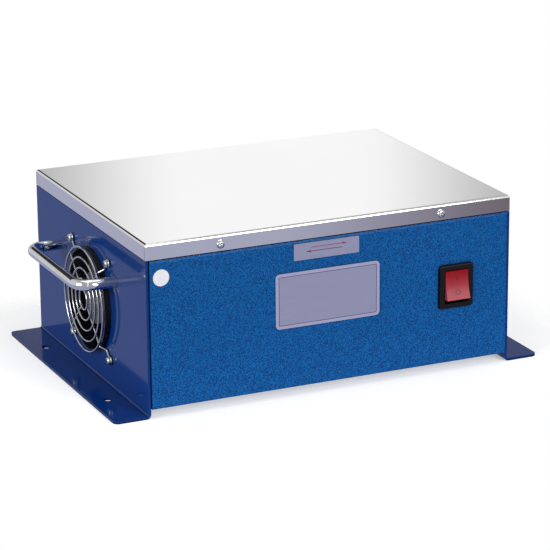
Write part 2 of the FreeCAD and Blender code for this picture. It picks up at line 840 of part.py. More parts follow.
def fan_stator():
    """The motor's four-pole iron, pushed over the bearing tube inside the hub."""
    body = new_body("fan_stator")
    ring = new_sketch(body, "stator_outline", "XY_Plane", "fan_depth - strut_depth - stator_lift")
    draw_circle(ring, "0", "0", "stator_width")
    draw_circle(ring, "0", "0", "tube_width")
    pad(body, "stator_ring", ring, "stator_height", backwards=True)
    slot = new_sketch(body, "stator_slot_outline", "XY_Plane")
    draw_box(slot, "tube_width / 2 + stator_slot / 2", "-stator_slot / 2", "stator_width", "stator_slot / 2")
    first = pocket(body, "stator_slot_cut", slot)
    polar(body, "stator_slots", [first], slot, 4)
    return place_fan_piece(body)


# The hub's boss stops just short of the bearing, so that the two never rub.
BOSS_END = "(fan_depth - strut_depth - bearing_length - run_gap)"


def fan_impeller():
    """A cup-shaped hub with twisted blades, trimmed round at the tips."""
    body = new_body("fan_impeller")
    hub = new_sketch(body, "hub_outline", "XY_Plane", "hub_setback")
    draw_circle(hub, "0", "0", "hub_width")
    pad(body, "hub", hub, "hub_depth")

    middle = "hub_setback + hub_depth / 2"
    sections = []
    for name, out, chord, pitch in (("root", "hub_width / 2 - 2 * hub_wall", "root_chord", "root_pitch"),
                                    ("tip", "fan_bore / 2", "tip_chord", "tip_pitch")):
        section = new_sketch(body, f"blade_{name}", "YZ_Plane", out)
        twist = Rotation(Vector(0, 0, 1), value(pitch))
        section.AttachmentOffset = Placement(Vector(0, 0, value(out)), twist)
        bind(section, AttachmentOffset__Base__z=out, AttachmentOffset__Base__y=middle,
             AttachmentOffset__Rotation__Angle=pitch)
        draw_box(section, f"-{chord} / 2", "-blade_sheet / 2", f"{chord} / 2", "blade_sheet / 2")
        sections.append(section)
    doc.recompute()
    blade = body.newObject("PartDesign::AdditiveLoft", "blade")
    blade.Profile = sections[0]
    blade.Sections = sections[1:]
    blade.Ruled = True
    doc.recompute()
    polar(body, "blades", [blade], hub, "blade_count")

    trim = new_sketch(body, "tip_trim_outline", "XY_Plane")
    draw_circle(trim, "0", "0", "fan_bore - 2 * blade_tip_gap")
    draw_circle(trim, "0", "0", "2 * fan_bore")
    pocket(body, "tip_trim", trim)
    cup = new_sketch(body, "cup_outline", "XY_Plane", "hub_setback + hub_wall")
    draw_circle(cup, "0", "0", "hub_width - 2 * hub_wall")
    draw_circle(cup, "0", "0", "tube_width")
    pocket(body, "cup", cup, "fan_depth", backwards=True)
    seat = new_sketch(body, "boss_end_outline", "XY_Plane", BOSS_END)
    draw_circle(seat, "0", "0", "hub_width - 2 * hub_wall")
    pocket(body, "boss_end", seat, "fan_depth", backwards=True)
    shaft_hole = new_sketch(body, "shaft_seat_outline", "XY_Plane", "hub_setback + hub_wall / 2")
    draw_circle(shaft_hole, "0", "0", "shaft_width")
    pocket(body, "shaft_seat", shaft_hole, "fan_depth", backwards=True)
    return place_fan_piece(body)


def fan_shaft():
    shaft = rod_form("fan_shaft", "shaft_width",
                     "fan_depth - strut_depth - hub_setback - hub_wall / 2 - run_gap")
    shaft.Label = "fan_shaft"
    place(shaft, across=f"-{SIDE_IN} + hub_setback + hub_wall / 2", back="fan_across", rise="fan_rise",
          turn=TO_RIGHT)
    return node(shaft)


def fan_guard():
    """Round wire rings welded on four legs, each bent down to an eye under its screw."""
    body = new_body("fan_guard")
    ring_plane = "(-side_sheet - guard_height + wire / 2)"
    leg_plane = f"({ring_plane} + wire - weld_sink)"
    eye_plane = "(-side_sheet - wire / 2)"
    rings = new_sketch(body, "guard_ring_sections", "XZ_Plane")
    for number in range(int(value("guard_rings"))):
        draw_circle(rings, f"guard_outer - {number} * guard_step", ring_plane, "wire")
    revolve(body, "guard_rings", rings, "V_Axis")

    path = new_sketch(body, "guard_leg_path", "XZ_Plane")
    stops = [
        (f"{FAN_CIRCLE} - eye_width / 2", eye_plane),
        ("guard_outer + guard_slope", eye_plane),
        ("guard_outer + wire / 2", leg_plane),
        ("guard_end", leg_plane),
    ]
    corners = [Vector(value(across), value(up), 0) for across, up in stops]
    for edge in range(3):
        path.addGeometry(Part.LineSegment(corners[edge], corners[edge + 1]))
        if edge:
            path.addConstraint(Sketcher.Constraint("Coincident", edge - 1, 2, edge, 1))
        hold_point(path, edge, 1, *stops[edge])
    hold_point(path, 2, 2, *stops[3])
    section = new_sketch(body, "guard_leg_section", "YZ_Plane", stops[0][0])
    draw_circle(section, "0", eye_plane, "wire")
    doc.recompute()
    leg = body.newObject("PartDesign::AdditivePipe", "guard_leg")
    leg.Profile = section
    leg.Spine = path
    leg.Transition = "Round corner"
    doc.recompute()
    eye = new_sketch(body, "guard_eye_section", "XZ_Plane")
    draw_circle(eye, f"{FAN_CIRCLE} - eye_width / 2", eye_plane, "wire")
    eye_middle = Vector(value(FAN_CIRCLE), 0, 0)
    axis = eye.addGeometry(Part.LineSegment(eye_middle, eye_middle + Vector(0, value("wire"), 0)), True)
    hold_point(eye, axis, 1, FAN_CIRCLE, "0")
    hold_point(eye, axis, 2, FAN_CIRCLE, "wire")
    loop = revolve(body, "guard_eye", eye, "Axis0")
    centre = new_sketch(body, "guard_centre", "XY_Plane")
    draw_circle(centre, "0", "0", "wire")
    polar(body, "guard_legs", [leg, loop], centre, 4)
    return place_fan_piece(body, DIAGONAL)


def fan_fixings():
    """Four screws through the guard's eyes, the side panel and the fan; washers and nuts at the back."""
    corners = []
    for across in (-1, 1):
        for up in (-1, 1):
            corners.append((f"fan_across + {across} * fan_pitch / 2", f"fan_rise + {up} * fan_pitch / 2"))
    head_face = f"-{SIDE_OUT} - wire"
    washer_face = f"-{SIDE_IN} + fan_depth"
    nut_face = f"{washer_face} + washer_sheet"
    screw = screw_form("fan_screw_form", "fan_screw", f"wire + side_sheet + {FAN_STACK}", "fan_screw_head",
                       "fan_head_height")
    washer = ring_form("fan_washer_form", "fan_washer", "fan_screw + hole_fit", "washer_sheet")
    nut = hex_form("fan_nut_form", "fan_nut_flats", "fan_nut_height", "fan_screw + 2 * thread_fit")
    group("fan_screws", screw, [(head_face, back, rise, TO_LEFT) for back, rise in corners])
    group("fan_washers", washer, [(washer_face, back, rise, TO_RIGHT) for back, rise in corners])
    group("fan_nuts", nut, [(nut_face, back, rise, TO_RIGHT) for back, rise in corners])


def handle_fixings():
    """Screws from inside the casing into the handles' ends, each on a washer."""
    length = "washer_sheet + side_sheet + handle_thread - thread_spare"
    screw = screw_form("handle_screw_form", "stud", length, "head_width", "head_height")
    washer = ring_form("handle_washer_form", "washer", "stud + hole_fit", "washer_sheet")
    screws = []
    washers = []
    for side, turn in ((-1, TO_RIGHT), (1, TO_LEFT)):
        for end in (-1, 1):
            back = f"{end} * handle_pitch / 2"
            washers.append((f"{side} * {SIDE_IN}", back, "handle_rise", turn))
            screws.append((f"{side} * ({SIDE_IN} - washer_sheet)", back, "handle_rise", turn))
    group("handle_screws", screw, screws)
    group("handle_washers", washer, washers)


def panel_fixings():
    """Studs welded inside the side panels, with nuts that hold the end panels and the base plate."""
    stud = rod_form("stud_form", "stud", "stud_length")
    nut = hex_form("panel_nut_form", "nut_flats", "nut_height", "stud + 2 * thread_fit")
    studs = []
    nuts = []
    for side, turn in ((-1, TO_RIGHT), (1, TO_LEFT)):
        for end in (-1, 1):
            for rise in ("stud_low", "stud_high"):
                back = f"{end} * {STUD_LINE}"
                studs.append((f"{side} * {SIDE_IN}", back, rise, turn))
                nuts.append((f"{side} * ({PANEL_END} - panel_sheet)", back, rise, turn))
            back = f"{end} * tab_pitch / 2"
            studs.append((f"{side} * {SIDE_IN}", back, TAB_STUD, turn))
            nuts.append((f"{side} * ({SIDE_IN} - base_sheet)", back, TAB_STUD, turn))
    group("panel_studs", stud, studs)
    group("panel_nuts", nut, nuts)


def cover_fixings():
    """Small round-headed screws through the cover's lips into nuts on the panels' upstands."""
    length = "cover_sheet + cover_fit + panel_sheet + nut_height"
    screw = screw_form("cover_screw_form", "cover_screw", length, "cover_screw_head", "cover_head_height")
    nut = ring_form("cover_nut_form", "2 * cover_screw", "cover_screw + 2 * thread_fit", "nut_height")
    screws = []
    nuts = []
    for end, face_turn, back_turn in ((-1, TO_FRONT, TO_BACK), (1, TO_BACK, TO_FRONT)):
        for side in (-1, 1):
            across = f"{side} * cover_screw_pitch / 2"
            screws.append((across, f"{end} * case_depth / 2", COVER_SCREW_Z, face_turn))
            nuts.append((across, f"{end} * ({PANEL_UPSTAND} - panel_sheet)", COVER_SCREW_Z, back_turn))
    group("cover_screws", screw, screws)
    group("cover_nuts", nut, nuts)


# The switch is drawn about the middle of its opening, with the panel's face on Y = 0.
def place_on_front(body, across, rise):
    place(body, across=across, back=f"-{PANEL_FACE}", rise=rise)
    return node(body)


def switch_housing():
    """A black moulding: a bezel on the panel, a body through it and a well for the rocker."""
    body = new_body("switch_housing")
    bezel = new_sketch(body, "bezel_outline", "XZ_Plane")
    draw_box(bezel, "-bezel_width / 2", "-bezel_height / 2", "bezel_width / 2", "bezel_height / 2")
    frame = pad(body, "bezel", bezel, "bezel_proud")
    frame = fillet(body, "bezel_corners", frame, "bezel_corner", lambda middle, way: along_y(way))
    front = -value("bezel_proud")
    fillet(body, "bezel_edge", frame, "bezel_proud / 3", lambda middle, way: same(middle.y, front))
    case = new_sketch(body, "switch_case_outline", "XZ_Plane")
    draw_box(case, "-switch_width / 2", "-switch_height / 2", "switch_width / 2", "switch_height / 2")
    pad(body, "switch_case", case, "switch_depth", backwards=True)
    well = new_sketch(body, "well_outline", "XZ_Plane", "bezel_proud")
    draw_box(well, "-well_width / 2", "-well_height / 2", "well_width / 2", "well_height / 2")
    pocket(body, "well", well, "bezel_proud + well_depth")
    pin_holes = new_sketch(body, "pin_hole_places", "YZ_Plane")
    draw_circle(pin_holes, "pivot_depth", "0", "pivot_pin + 2 * pivot_fit")
    pocket(body, "pin_holes", pin_holes)
    return place_on_front(body, SWITCH_X, "switch_rise")


def switch_rocker():
    """The lit red key: hollow front, wedge back, a pivot pin on each side; drawn level, then tilted."""
    body = new_body("switch_rocker")
    section = new_sketch(body, "rocker_section", "YZ_Plane")
    front = value("-rocker_front")
    half = value("rocker_height / 2")
    stops = [
        ("-rocker_front", "-rocker_height / 2"),
        ("-pivot_pin", "-rocker_height / 2"),
        ("pivot_pin", "-rocker_height / 5"),
        ("pivot_pin", "rocker_height / 5"),
        ("-pivot_pin", "rocker_height / 2"),
        ("-rocker_front", "rocker_height / 2"),
    ]
    corners = [Vector(value(across), value(up), 0) for across, up in stops]
    for edge in range(5):
        section.addGeometry(Part.LineSegment(corners[edge], corners[edge + 1]))
        if edge:
            section.addConstraint(Sketcher.Constraint("Coincident", edge - 1, 2, edge, 1))
        hold_point(section, edge, 1, *stops[edge])
    hold_point(section, 4, 2, *stops[5])
    bottom = Vector(front + value("rocker_hollow"), 0, 0)
    face = section.addGeometry(Part.Arc(Vector(front, -half, 0), bottom, Vector(front, half, 0)))
    section.addConstraint(Sketcher.Constraint("Coincident", face, 1, 0, 1))
    section.addConstraint(Sketcher.Constraint("Coincident", face, 2, 4, 2))
    radius = "(rocker_height ^ 2 / 4 + rocker_hollow ^ 2) / (2 * rocker_hollow)"
    rule = section.addConstraint(Sketcher.Constraint("Radius", face, value(radius)))
    section.setExpression(f"Constraints[{rule}]", formula(radius))
    pad(body, "rocker_key", section, "rocker_width", both_ways=True)
    pins = new_sketch(body, "pivot_pin_outline", "YZ_Plane")
    draw_circle(pins, "0", "0", "pivot_pin")
    pad(body, "pivot_pins", pins, "rocker_width + 2 * pin_length", both_ways=True)
    place(body, across=SWITCH_X, back=f"-{PANEL_FACE} + pivot_depth", rise="switch_rise")
    body.Placement = Placement(body.Placement.Base, Rotation(Vector(1, 0, 0), value("-rocker_tilt")))
    bind(body, Placement__Rotation__Angle="-rocker_tilt")
    return node(body)


def switch_terminals():
    """Four push-on blades at the back of the switch."""
    body = new_body("switch_terminals")
    blade = new_sketch(body, "terminal_outline", "XZ_Plane", "-switch_depth")
    draw_box(blade, "switch_width / 4 - blade_gauge / 2", "switch_height / 4 - blade_width / 2",
             "switch_width / 4 + blade_gauge / 2", "switch_height / 4 + blade_width / 2")
    first = pad(body, "terminal", blade, "blade_length", backwards=True)
    mirrored(body, "terminals", [first], "XY_Plane", "YZ_Plane")
    return place_on_front(body, SWITCH_X, "switch_rise")


# The magnet stands on the base plate: a laminated U with a coil on each leg, poles close under the cover.
CORE_HEIGHT = "(case_height - cover_sheet - pole_gap - panel_ground - panel_sheet - base_sheet)"


def magnet_core():
    body = new_body("magnet_core")
    outline = new_sketch(body, "core_outline", "XZ_Plane")
    outside = f"({LEG_X} + leg_width / 2)"
    inside = f"({LEG_X} - leg_width / 2)"
    draw_outline(outline, [
        (f"-{outside}", "0"),
        (outside, "0"),
        (outside, CORE_HEIGHT),
        (inside, CORE_HEIGHT),
        (inside, "yoke_height"),
        (f"-{inside}", "yoke_height"),
        (f"-{inside}", CORE_HEIGHT),
        (f"-{outside}", CORE_HEIGHT),
    ])
    pad(body, "lamination_stack", outline, "core_stack", both_ways=True)
    holes = new_sketch(body, "core_hole_places", "XZ_Plane")
    for side in (-1, 1):
        draw_circle(holes, f"{side} * clamp_bolt_pitch / 2", "(clamp_leg + clamp_sheet) / 2",
                    "clamp_bolt + hole_fit")
    pocket(body, "core_holes", holes)
    place(body, rise=BASE_TOP)
    return node(body)


def coil_pair(side_name, side):
    """One leg's plastic bobbin and the winding on it."""
    bobbin = new_body(f"{side_name}_bobbin")
    half_x = "(leg_width / 2 + bobbin_fit)"
    half_y = "(core_stack / 2 + bobbin_fit)"
    height = f"({CORE_HEIGHT} - yoke_height)"

    def ring(body, name, offset, grow):
        outline = new_sketch(body, name, "XY_Plane", offset)
        across = f"({half_x} + {grow})"
        back = f"({half_y} + {grow})"
        draw_box(outline, f"-{across}", f"-{back}", across, back)
        return outline

    flange = "bobbin_wall + coil_build"
    low = ring(bobbin, f"{side_name}_low_outline", "0", flange)
    pad(bobbin, f"{side_name}_low_flange", low, "bobbin_flange")
    tube = ring(bobbin, f"{side_name}_tube_outline", "0", "bobbin_wall")
    pad(bobbin, f"{side_name}_tube", tube, height)
    high = ring(bobbin, f"{side_name}_high_outline", height, flange)
    pad(bobbin, f"{side_name}_high_flange", high, "bobbin_flange", backwards=True)
    leg = ring(bobbin, f"{side_name}_leg_outline", "0", "0")
    pocket(bobbin, f"{side_name}_leg_space", leg)
    place(bobbin, across=f"{side} * {LEG_X}", rise=f"{BASE_TOP} + yoke_height")
    node(bobbin)

    coil = new_body(f"{side_name}_coil")
    wound = "bobbin_wall + coil_build - winding_margin"
    outer = ring(coil, f"{side_name}_winding_outline", "bobbin_flange", wound)
    winding = pad(coil, f"{side_name}_winding", outer, f"{height} - 2 * bobbin_flange")
    fillet(coil, f"{side_name}_winding_corners", winding, "coil_corner", lambda middle, way: along_z(way))
    inner = ring(coil, f"{side_name}_tube_space_outline", "0", "bobbin_wall")
    pocket(coil, f"{side_name}_tube_space", inner)
    place(coil, across=f"{side} * {LEG_X}", rise=f"{BASE_TOP} + yoke_height")
    node(coil)


def core_clamp(label, end):
    """An angle that grips the yoke from one face and bolts down to the base plate."""
    body = new_body(label)
    section = new_sketch(body, f"{label}_section", "YZ_Plane")
    near = f"{end} * core_stack / 2"
    draw_outline(section, [
        (near, "0"),
        (f"{near} + {end} * clamp_leg", "0"),
        (f"{near} + {end} * clamp_leg", "clamp_sheet"),
        (f"{near} + {end} * clamp_sheet", "clamp_sheet"),
        (f"{near} + {end} * clamp_sheet", "clamp_leg"),
        (near, "clamp_leg"),
    ])
    pad(body, f"{label}_angle", section, "clamp_length", both_ways=True)
    yoke_holes = new_sketch(body, f"{label}_yoke_hole_places", "XZ_Plane")
    for side in (-1, 1):
        draw_circle(yoke_holes, f"{side} * clamp_bolt_pitch / 2", "clamp_leg / 2 + clamp_sheet / 2",
                    "clamp_bolt + hole_fit")
    pocket(body, f"{label}_yoke_holes", yoke_holes)
    foot_holes = new_sketch(body, f"{label}_foot_hole_places", "XY_Plane")
    for across, back in clamp_foot_places():
        if value(back) * end > 0:
            draw_circle(foot_holes, across, back, "clamp_bolt + hole_fit")
    pocket(body, f"{label}_foot_holes", foot_holes)
    place(body, rise=BASE_TOP)
    return node(body)


def clamp_fixings():
    """Two bolts through the yoke and both clamps, and four that hold the clamps to the base plate."""
    yoke_rise = f"{BASE_TOP} + clamp_leg / 2 + clamp_sheet / 2"
    face = "core_stack / 2 + clamp_sheet"

    def bolt(label, length):
        body = hex_form(label, "bolt_flats", "bolt_head")
        shank = new_sketch(body, f"{label}_shank_outline", "XY_Plane")
        draw_circle(shank, "0", "0", "clamp_bolt")
        pad(body, f"{label}_shank", shank, length, backwards=True)
        return body

    nut = hex_form("bolt_nut_form", "bolt_flats", "bolt_nut", "clamp_bolt + 2 * thread_fit")
    long_bolt = bolt("yoke_bolt_form", f"2 * ({face}) + bolt_nut + bolt_spare")
    short_bolt = bolt("foot_bolt_form", "base_sheet + clamp_sheet + bolt_nut + bolt_spare")
    yoke_places = [f"{side} * clamp_bolt_pitch / 2" for side in (-1, 1)]
    group("yoke_bolts", long_bolt, [(across, f"-({face})", yoke_rise, TO_FRONT) for across in yoke_places])
    group("yoke_nuts", nut, [(across, face, yoke_rise, TO_BACK) for across in yoke_places])
    feet = clamp_foot_places()
    group("base_bolts", short_bolt, [(across, back, BASE_UNDER, UPSIDE_DOWN) for across, back in feet])
    group("base_nuts", nut, [(across, back, f"{BASE_TOP} + clamp_sheet", UPRIGHT) for across, back in feet])


def terminal_block():
    """A strip of screw terminals on the base plate, between the magnet and the right side."""
    body = new_body("terminal_block")
    strip = new_sketch(body, "block_outline", "XY_Plane")
    draw_box(strip, "-block_width / 2", "-block_length / 2", "block_width / 2", "block_length / 2")
    pad(body, "block", strip, "block_height")
    way = new_sketch(body, "way_outline", "XY_Plane", "block_height")
    step = "block_length / block_ways"
    first_y = f"-block_length / 2 + {step} / 2"
    draw_circle(way, "0", first_y, "way_width")
    first = pocket(body, "way", way, "block_height / 2")
    row = body.newObject("PartDesign::LinearPattern", "ways")
    row.Originals = [first]
    row.Direction = (way, ["V_Axis"])
    bind(row, Length=f"block_length - {step}", Occurrences="block_ways")
    body.Tip = row
    place(body, across=BLOCK_X, back="block_back", rise=BASE_TOP)
    doc.recompute()
    node(body)

    screw = rod_form("terminal_screw_form", "terminal_screw", "block_height / 4")
    places = []
    for number in range(int(value("block_ways"))):
        back = f"block_back + {first_y} + {number} * {step}"
        places.append((BLOCK_X, back, f"{BASE_TOP} + block_height / 2", UPRIGHT))
    group("terminal_screws", screw, places)


def lead_wire(stops, bend):
    """A round insulated wire along straight runs joined by arcs; each stop is three formulas."""
    points = [Vector(*[value(text) for text in stop]) for stop in stops]
    radius = value(bend)
    start = points[0]
    edges = []
    for before, corner, after in zip(points, points[1:], points[2:]):
        heading = (corner - before).normalize()
        leaving = (after - corner).normalize()
        half_turn = heading.getAngle(leaving) / 2
        inward = (leaving - heading).normalize()
        tangent = radius * math.tan(half_turn)
        peak = corner + inward * radius * (1 / math.cos(half_turn) - 1)
        edges.append(Part.LineSegment(start, corner - heading * tangent).toShape())
        edges.append(Part.Arc(corner - heading * tangent, peak, corner + leaving * tangent).toShape())
        start = corner + leaving * tangent
    edges.append(Part.LineSegment(start, points[-1]).toShape())
    circle = Part.Circle(points[0], points[1] - points[0], value("lead_width / 2"))
    return Part.Wire(edges).makePipeShell([Part.Wire(circle.toShape())], True, True)


def leads(label, bend, *routes):
    """One node of separate wires that run from piece to piece inside the casing."""
    wires = doc.addObject("Part::Feature", label)
    wires.Label = label
    wires.Shape = Part.makeCompound([lead_wire(stops, bend) for stops in routes])
    return node(wires)


def way_back(number):
    """How far back one way of the terminal block lies, counted from its front end."""
    return f"block_back - block_length / 2 + ({number} - 0.5) * block_length / block_ways"


def inside_leads():
    """Wires from the switch, the fan and the two coils to the terminal block, close over the base plate."""
    floor_lane = f"{BASE_TOP} + lead_rise"
    block_left = f"{BLOCK_X} - block_width / 2"

    blade_end = f"-{PANEL_FACE} + switch_depth + blade_length"
    blade_rise = "switch_rise - switch_height / 4"
    routes = []
    for side, way in ((1, 1), (-1, 2)):
        across = f"{SWITCH_X} + {side} * switch_width / 4"
        routes.append([
            (across, blade_end, blade_rise),
            (across, f"{blade_end} + lead_step", blade_rise),
            (across, f"{blade_end} + lead_step", f"{floor_lane} + lead_width"),
            (across, way_back(way), f"{floor_lane} + lead_width"),
            (block_left, way_back(way), f"{floor_lane} + lead_width"),
        ])
    leads("switch_leads", "lead_bend", *routes)

    motor_back = f"-{SIDE_IN} + fan_depth"
    lane_front = f"-{PANEL_BACK} + panel_return + lead_lane"
    block_front = "block_back - block_length / 2"
    routes = []
    for side in (-1, 1):
        back = f"fan_across + {side} * lead_step / 2"
        turn_down = f"{motor_back} + lead_step + {side} * lead_width"
        lane = f"{lane_front} - {side} * lead_width"
        across = f"{BLOCK_X} + {side} * block_width / 4"
        routes.append([
            (motor_back, back, "fan_rise - hub_width / 3"),
            (turn_down, back, "fan_rise - hub_width / 3"),
            (turn_down, back, floor_lane),
            (turn_down, lane, floor_lane),
            (across, lane, floor_lane),
            (across, block_front, floor_lane),
        ])
    leads("fan_leads", "short_bend", *routes)

    flange_rise = f"{BASE_TOP} + yoke_height + bobbin_flange / 2"
    flange_side = f"{LEG_X} + {COIL_HALF}"
    flange_back = f"core_stack / 2 + {COIL_HALF} - leg_width / 2"
    block_end = "block_back + block_length / 2"
    drop = f"({flange_side} + {block_left}) / 2"
    leads("coil_leads", "short_bend", [
        (flange_side, way_back(3), flange_rise),
        (drop, way_back(3), flange_rise),
        (drop, way_back(3), f"{floor_lane} + lead_width"),
        (block_left, way_back(3), f"{floor_lane} + lead_width"),
    ], [
        (f"-{LEG_X}", flange_back, flange_rise),
        (f"-{LEG_X}", f"{block_end} + lead_lane", flange_rise),
        (f"-{LEG_X}", f"{block_end} + lead_lane", floor_lane),
        (BLOCK_X, f"{block_end} + lead_lane", floor_lane),
        (BLOCK_X, block_end, floor_lane),
    ])


def thermal_cutout():
    """A small overheat switch strapped flat to the front of the left coil."""
    box = doc.addObject("Part::Box", "thermal_cutout")
    box.Label = "thermal_cutout"
    bind(box, Length="cutout_width", Width="cutout_depth", Height="cutout_height")
    coil_front = "core_stack / 2 + bobbin_fit + bobbin_wall + coil_build - winding_margin"
    place(box, across=f"-{LEG_X} - cutout_width / 2", back=f"-({coil_front}) - cutout_depth",
          rise=f"{BASE_TOP} + yoke_height + {CORE_HEIGHT} / 2 - yoke_height / 2 - cutout_height / 2")
    return node(box)


def cable_gland():
    """The mains inlet in the rear panel: threaded body, dome cap outside, locknut inside."""
    face = PANEL_FACE
    body = hex_form("cable_gland", "gland_flats", "gland_collar")
    thread = new_sketch(body, "gland_thread_outline", "XY_Plane")
    draw_circle(thread, "0", "0", "gland_thread")
    pad(body, "gland_thread_part", thread, "panel_sheet + locknut_height + bolt_spare", backwards=True)
    bore = new_sketch(body, "gland_bore_outline", "XY_Plane")
    draw_circle(bore, "0", "0", "gland_bore")
    pocket(body, "gland_bore_cut", bore)
    place(body, across=GLAND_X, back=face, rise="gland_rise", turn=TO_BACK)
    node(body)

    cap = new_body("gland_cap")
    dome = new_sketch(cap, "cap_half", "XZ_Plane")
    draw_outline(dome, [
        ("gland_bore / 2", "0"),
        ("gland_cap_width / 2", "0"),
        ("gland_cap_width / 2", "cap_straight"),
        ("cap_mouth / 2", "gland_cap_length"),
        ("gland_bore / 2", "gland_cap_length"),
    ])
    revolve(cap, "cap_turned", dome, "V_Axis")
    place(cap, across=GLAND_X, back=f"{face} + gland_collar", rise="gland_rise", turn=TO_BACK)
    node(cap)

    locknut = hex_form("gland_locknut", "gland_flats", "locknut_height", "gland_thread + 2 * thread_fit")
    place(locknut, across=GLAND_X, back=PANEL_BACK, rise="gland_rise", turn=TO_FRONT)
    node(locknut)


def earth_point():
    """A brass screw through the rear panel with two nuts inside, for the protective earth."""
    length = "panel_sheet + stud_length + nut_height"
    screw = screw_form("earth_stud", "stud", length, "head_width", "head_height")
    place(screw, across=EARTH_X, back=PANEL_FACE, rise="earth_rise", turn=TO_BACK)
    node(screw)
    nut = hex_form("earth_nut_form", "nut_flats", "nut_height", "stud + 2 * thread_fit")
    backs = [PANEL_BACK, f"{PANEL_BACK} - nut_height - washer_sheet"]
    group("earth_nuts", nut, [(EARTH_X, back, "earth_rise", TO_FRONT) for back in backs])


def front_plate(label, width, height, corner, across, rise):
    """A thin plate with rounded corners, stuck on the front panel."""
    body = new_body(label)
    outline = new_sketch(body, f"{label}_outline", "XZ_Plane")
    draw_box(outline, f"-{width} / 2", f"-{height} / 2", f"{width} / 2", f"{height} / 2")
    blank = pad(body, f"{label}_blank", outline, "plate_sheet")
    fillet(body, f"{label}_corners", blank, f"min({corner}; {height} / 4)",
           lambda middle, way: along_y(way))
    return place_on_front(body, across, rise)


def round_label():
    """A thin round label near the panel's left end."""
    disc = rod_form("round_label", "label_width", "label_sheet")
    disc.Label = "round_label"
    place(disc, across=f"-{SIDE_OUT} + label_inset", back=f"-{PANEL_FACE}", rise=f"{SHOULDER} - label_drop",
          turn=TO_FRONT)
    return node(disc)


# Casing
left = side_panel("left_side_panel", -1)
cut_fan_opening(left)
right = side_panel("right_side_panel", 1)
cut_vent_slots(right)
front = end_panel("front_panel", -1)
cut_switch_opening(front)
rear = end_panel("rear_panel", 1)
cut_gland_opening(rear)
base_plate()
top_cover()
panel_fixings()
cover_fixings()

# Handles
handle("left_handle", -1)
handle("right_handle", 1)
handle_fixings()

# Fan
fan_frame()
fan_bearing()
fan_stator()
fan_impeller()
fan_shaft()
fan_guard()
fan_fixings()

# Switch
switch_housing()
switch_rocker()
switch_terminals()

# Magnet
magnet_core()
coil_pair("left", -1)
coil_pair("right", 1)
core_clamp("front_core_clamp", -1)
core_clamp("rear_core_clamp", 1)
clamp_fixings()

# Wiring
terminal_block()
thermal_cutout()
cable_gland()
earth_point()
inside_leads()

# Plates
arrow_plate_rise = f"{SHOULDER} - arrow_plate_drop"
front_plate("name_plate", "name_plate_width", "name_plate_height", "name_plate_corner", "name_plate_across",
            f"{arrow_plate_rise} - arrow_plate_height / 2 - plate_spacing - name_plate_height / 2")
front_plate("direction_plate", "arrow_plate_width", "arrow_plate_height", "arrow_plate_corner",
            "arrow_plate_across", arrow_plate_rise)
round_label()

doc.recompute()
for thing in doc.Objects:
    if "Invalid" in thing.State or "Error" in thing.State:
        raise RuntimeError(f"{thing.Label} did not build: {thing.State}")
os.makedirs("parts", exist_ok=True)
for piece in nodes:
    if piece.Shape.isNull() or not piece.Shape.isValid():
        raise RuntimeError(f"{piece.Label} has no valid shape")
    piece.Shape.exportStep(f"parts/{piece.Label}.step")
    print(f"{piece.Label}: {len(piece.Shape.Solids)} solid(s), {piece.Shape.Volume:.0f} mm3")
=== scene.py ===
import math

import bpy
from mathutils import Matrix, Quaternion, Vector


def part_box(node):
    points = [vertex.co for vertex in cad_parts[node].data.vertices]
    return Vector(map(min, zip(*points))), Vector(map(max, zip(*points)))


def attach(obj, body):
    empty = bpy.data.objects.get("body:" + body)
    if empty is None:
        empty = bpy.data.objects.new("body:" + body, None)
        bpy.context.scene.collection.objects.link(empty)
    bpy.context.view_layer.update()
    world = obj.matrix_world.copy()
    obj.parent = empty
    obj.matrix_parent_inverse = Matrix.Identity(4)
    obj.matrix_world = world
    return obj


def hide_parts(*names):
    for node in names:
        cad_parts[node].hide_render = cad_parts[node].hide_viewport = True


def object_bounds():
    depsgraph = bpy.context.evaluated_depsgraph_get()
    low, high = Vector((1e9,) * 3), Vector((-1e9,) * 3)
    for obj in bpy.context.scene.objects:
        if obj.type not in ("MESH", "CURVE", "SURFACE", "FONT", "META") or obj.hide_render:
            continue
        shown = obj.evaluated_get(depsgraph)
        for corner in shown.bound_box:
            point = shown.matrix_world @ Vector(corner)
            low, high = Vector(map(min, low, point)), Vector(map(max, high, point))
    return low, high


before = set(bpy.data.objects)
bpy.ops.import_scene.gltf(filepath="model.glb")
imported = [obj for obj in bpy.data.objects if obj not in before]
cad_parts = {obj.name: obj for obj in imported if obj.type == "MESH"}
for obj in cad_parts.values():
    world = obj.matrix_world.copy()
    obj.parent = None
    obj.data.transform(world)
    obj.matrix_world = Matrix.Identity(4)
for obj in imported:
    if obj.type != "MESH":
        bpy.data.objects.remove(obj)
cad_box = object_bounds()


# Side panels: two walls of 2 mm sheet steel, each folded out at the bottom into a foot flange with two bolt
# holes. They are sprayed with a gloss blue enamel and stoved, before the fan and the handles go on.
def linear(code):
    """A hex colour as the linear values that a shader works in."""
    parts = [int(code[start:start + 2], 16) / 255 for start in (1, 3, 5)]
    return [part / 12.92 if part < 0.04045 else ((part + 0.055) / 1.055) ** 2.4 for part in parts] + [1]


def feed(tree, target, inputs):
    """Link or set a node's inputs."""
    for socket, source in inputs.items():
        if isinstance(source, bpy.types.NodeSocket):
            tree.links.new(source, target.inputs[socket])
        else:
            target.inputs[socket].default_value = source


def add_node(tree, kind, inputs, **settings):
    """Add one node with its settings and links."""
    added = tree.nodes.new(kind)
    for name, setting in settings.items():
        setattr(added, name, setting)
    feed(tree, added, inputs)
    return added


def start_finish(name):
    """A new material, with its tree, its shader and the place that its patterns are drawn by."""
    finish = bpy.data.materials.new(name)
    finish.use_nodes = True
    tree = finish.node_tree
    place = add_node(tree, "ShaderNodeTexCoord", {}).outputs["Object"]
    return finish, tree, tree.nodes["Principled BSDF"], place


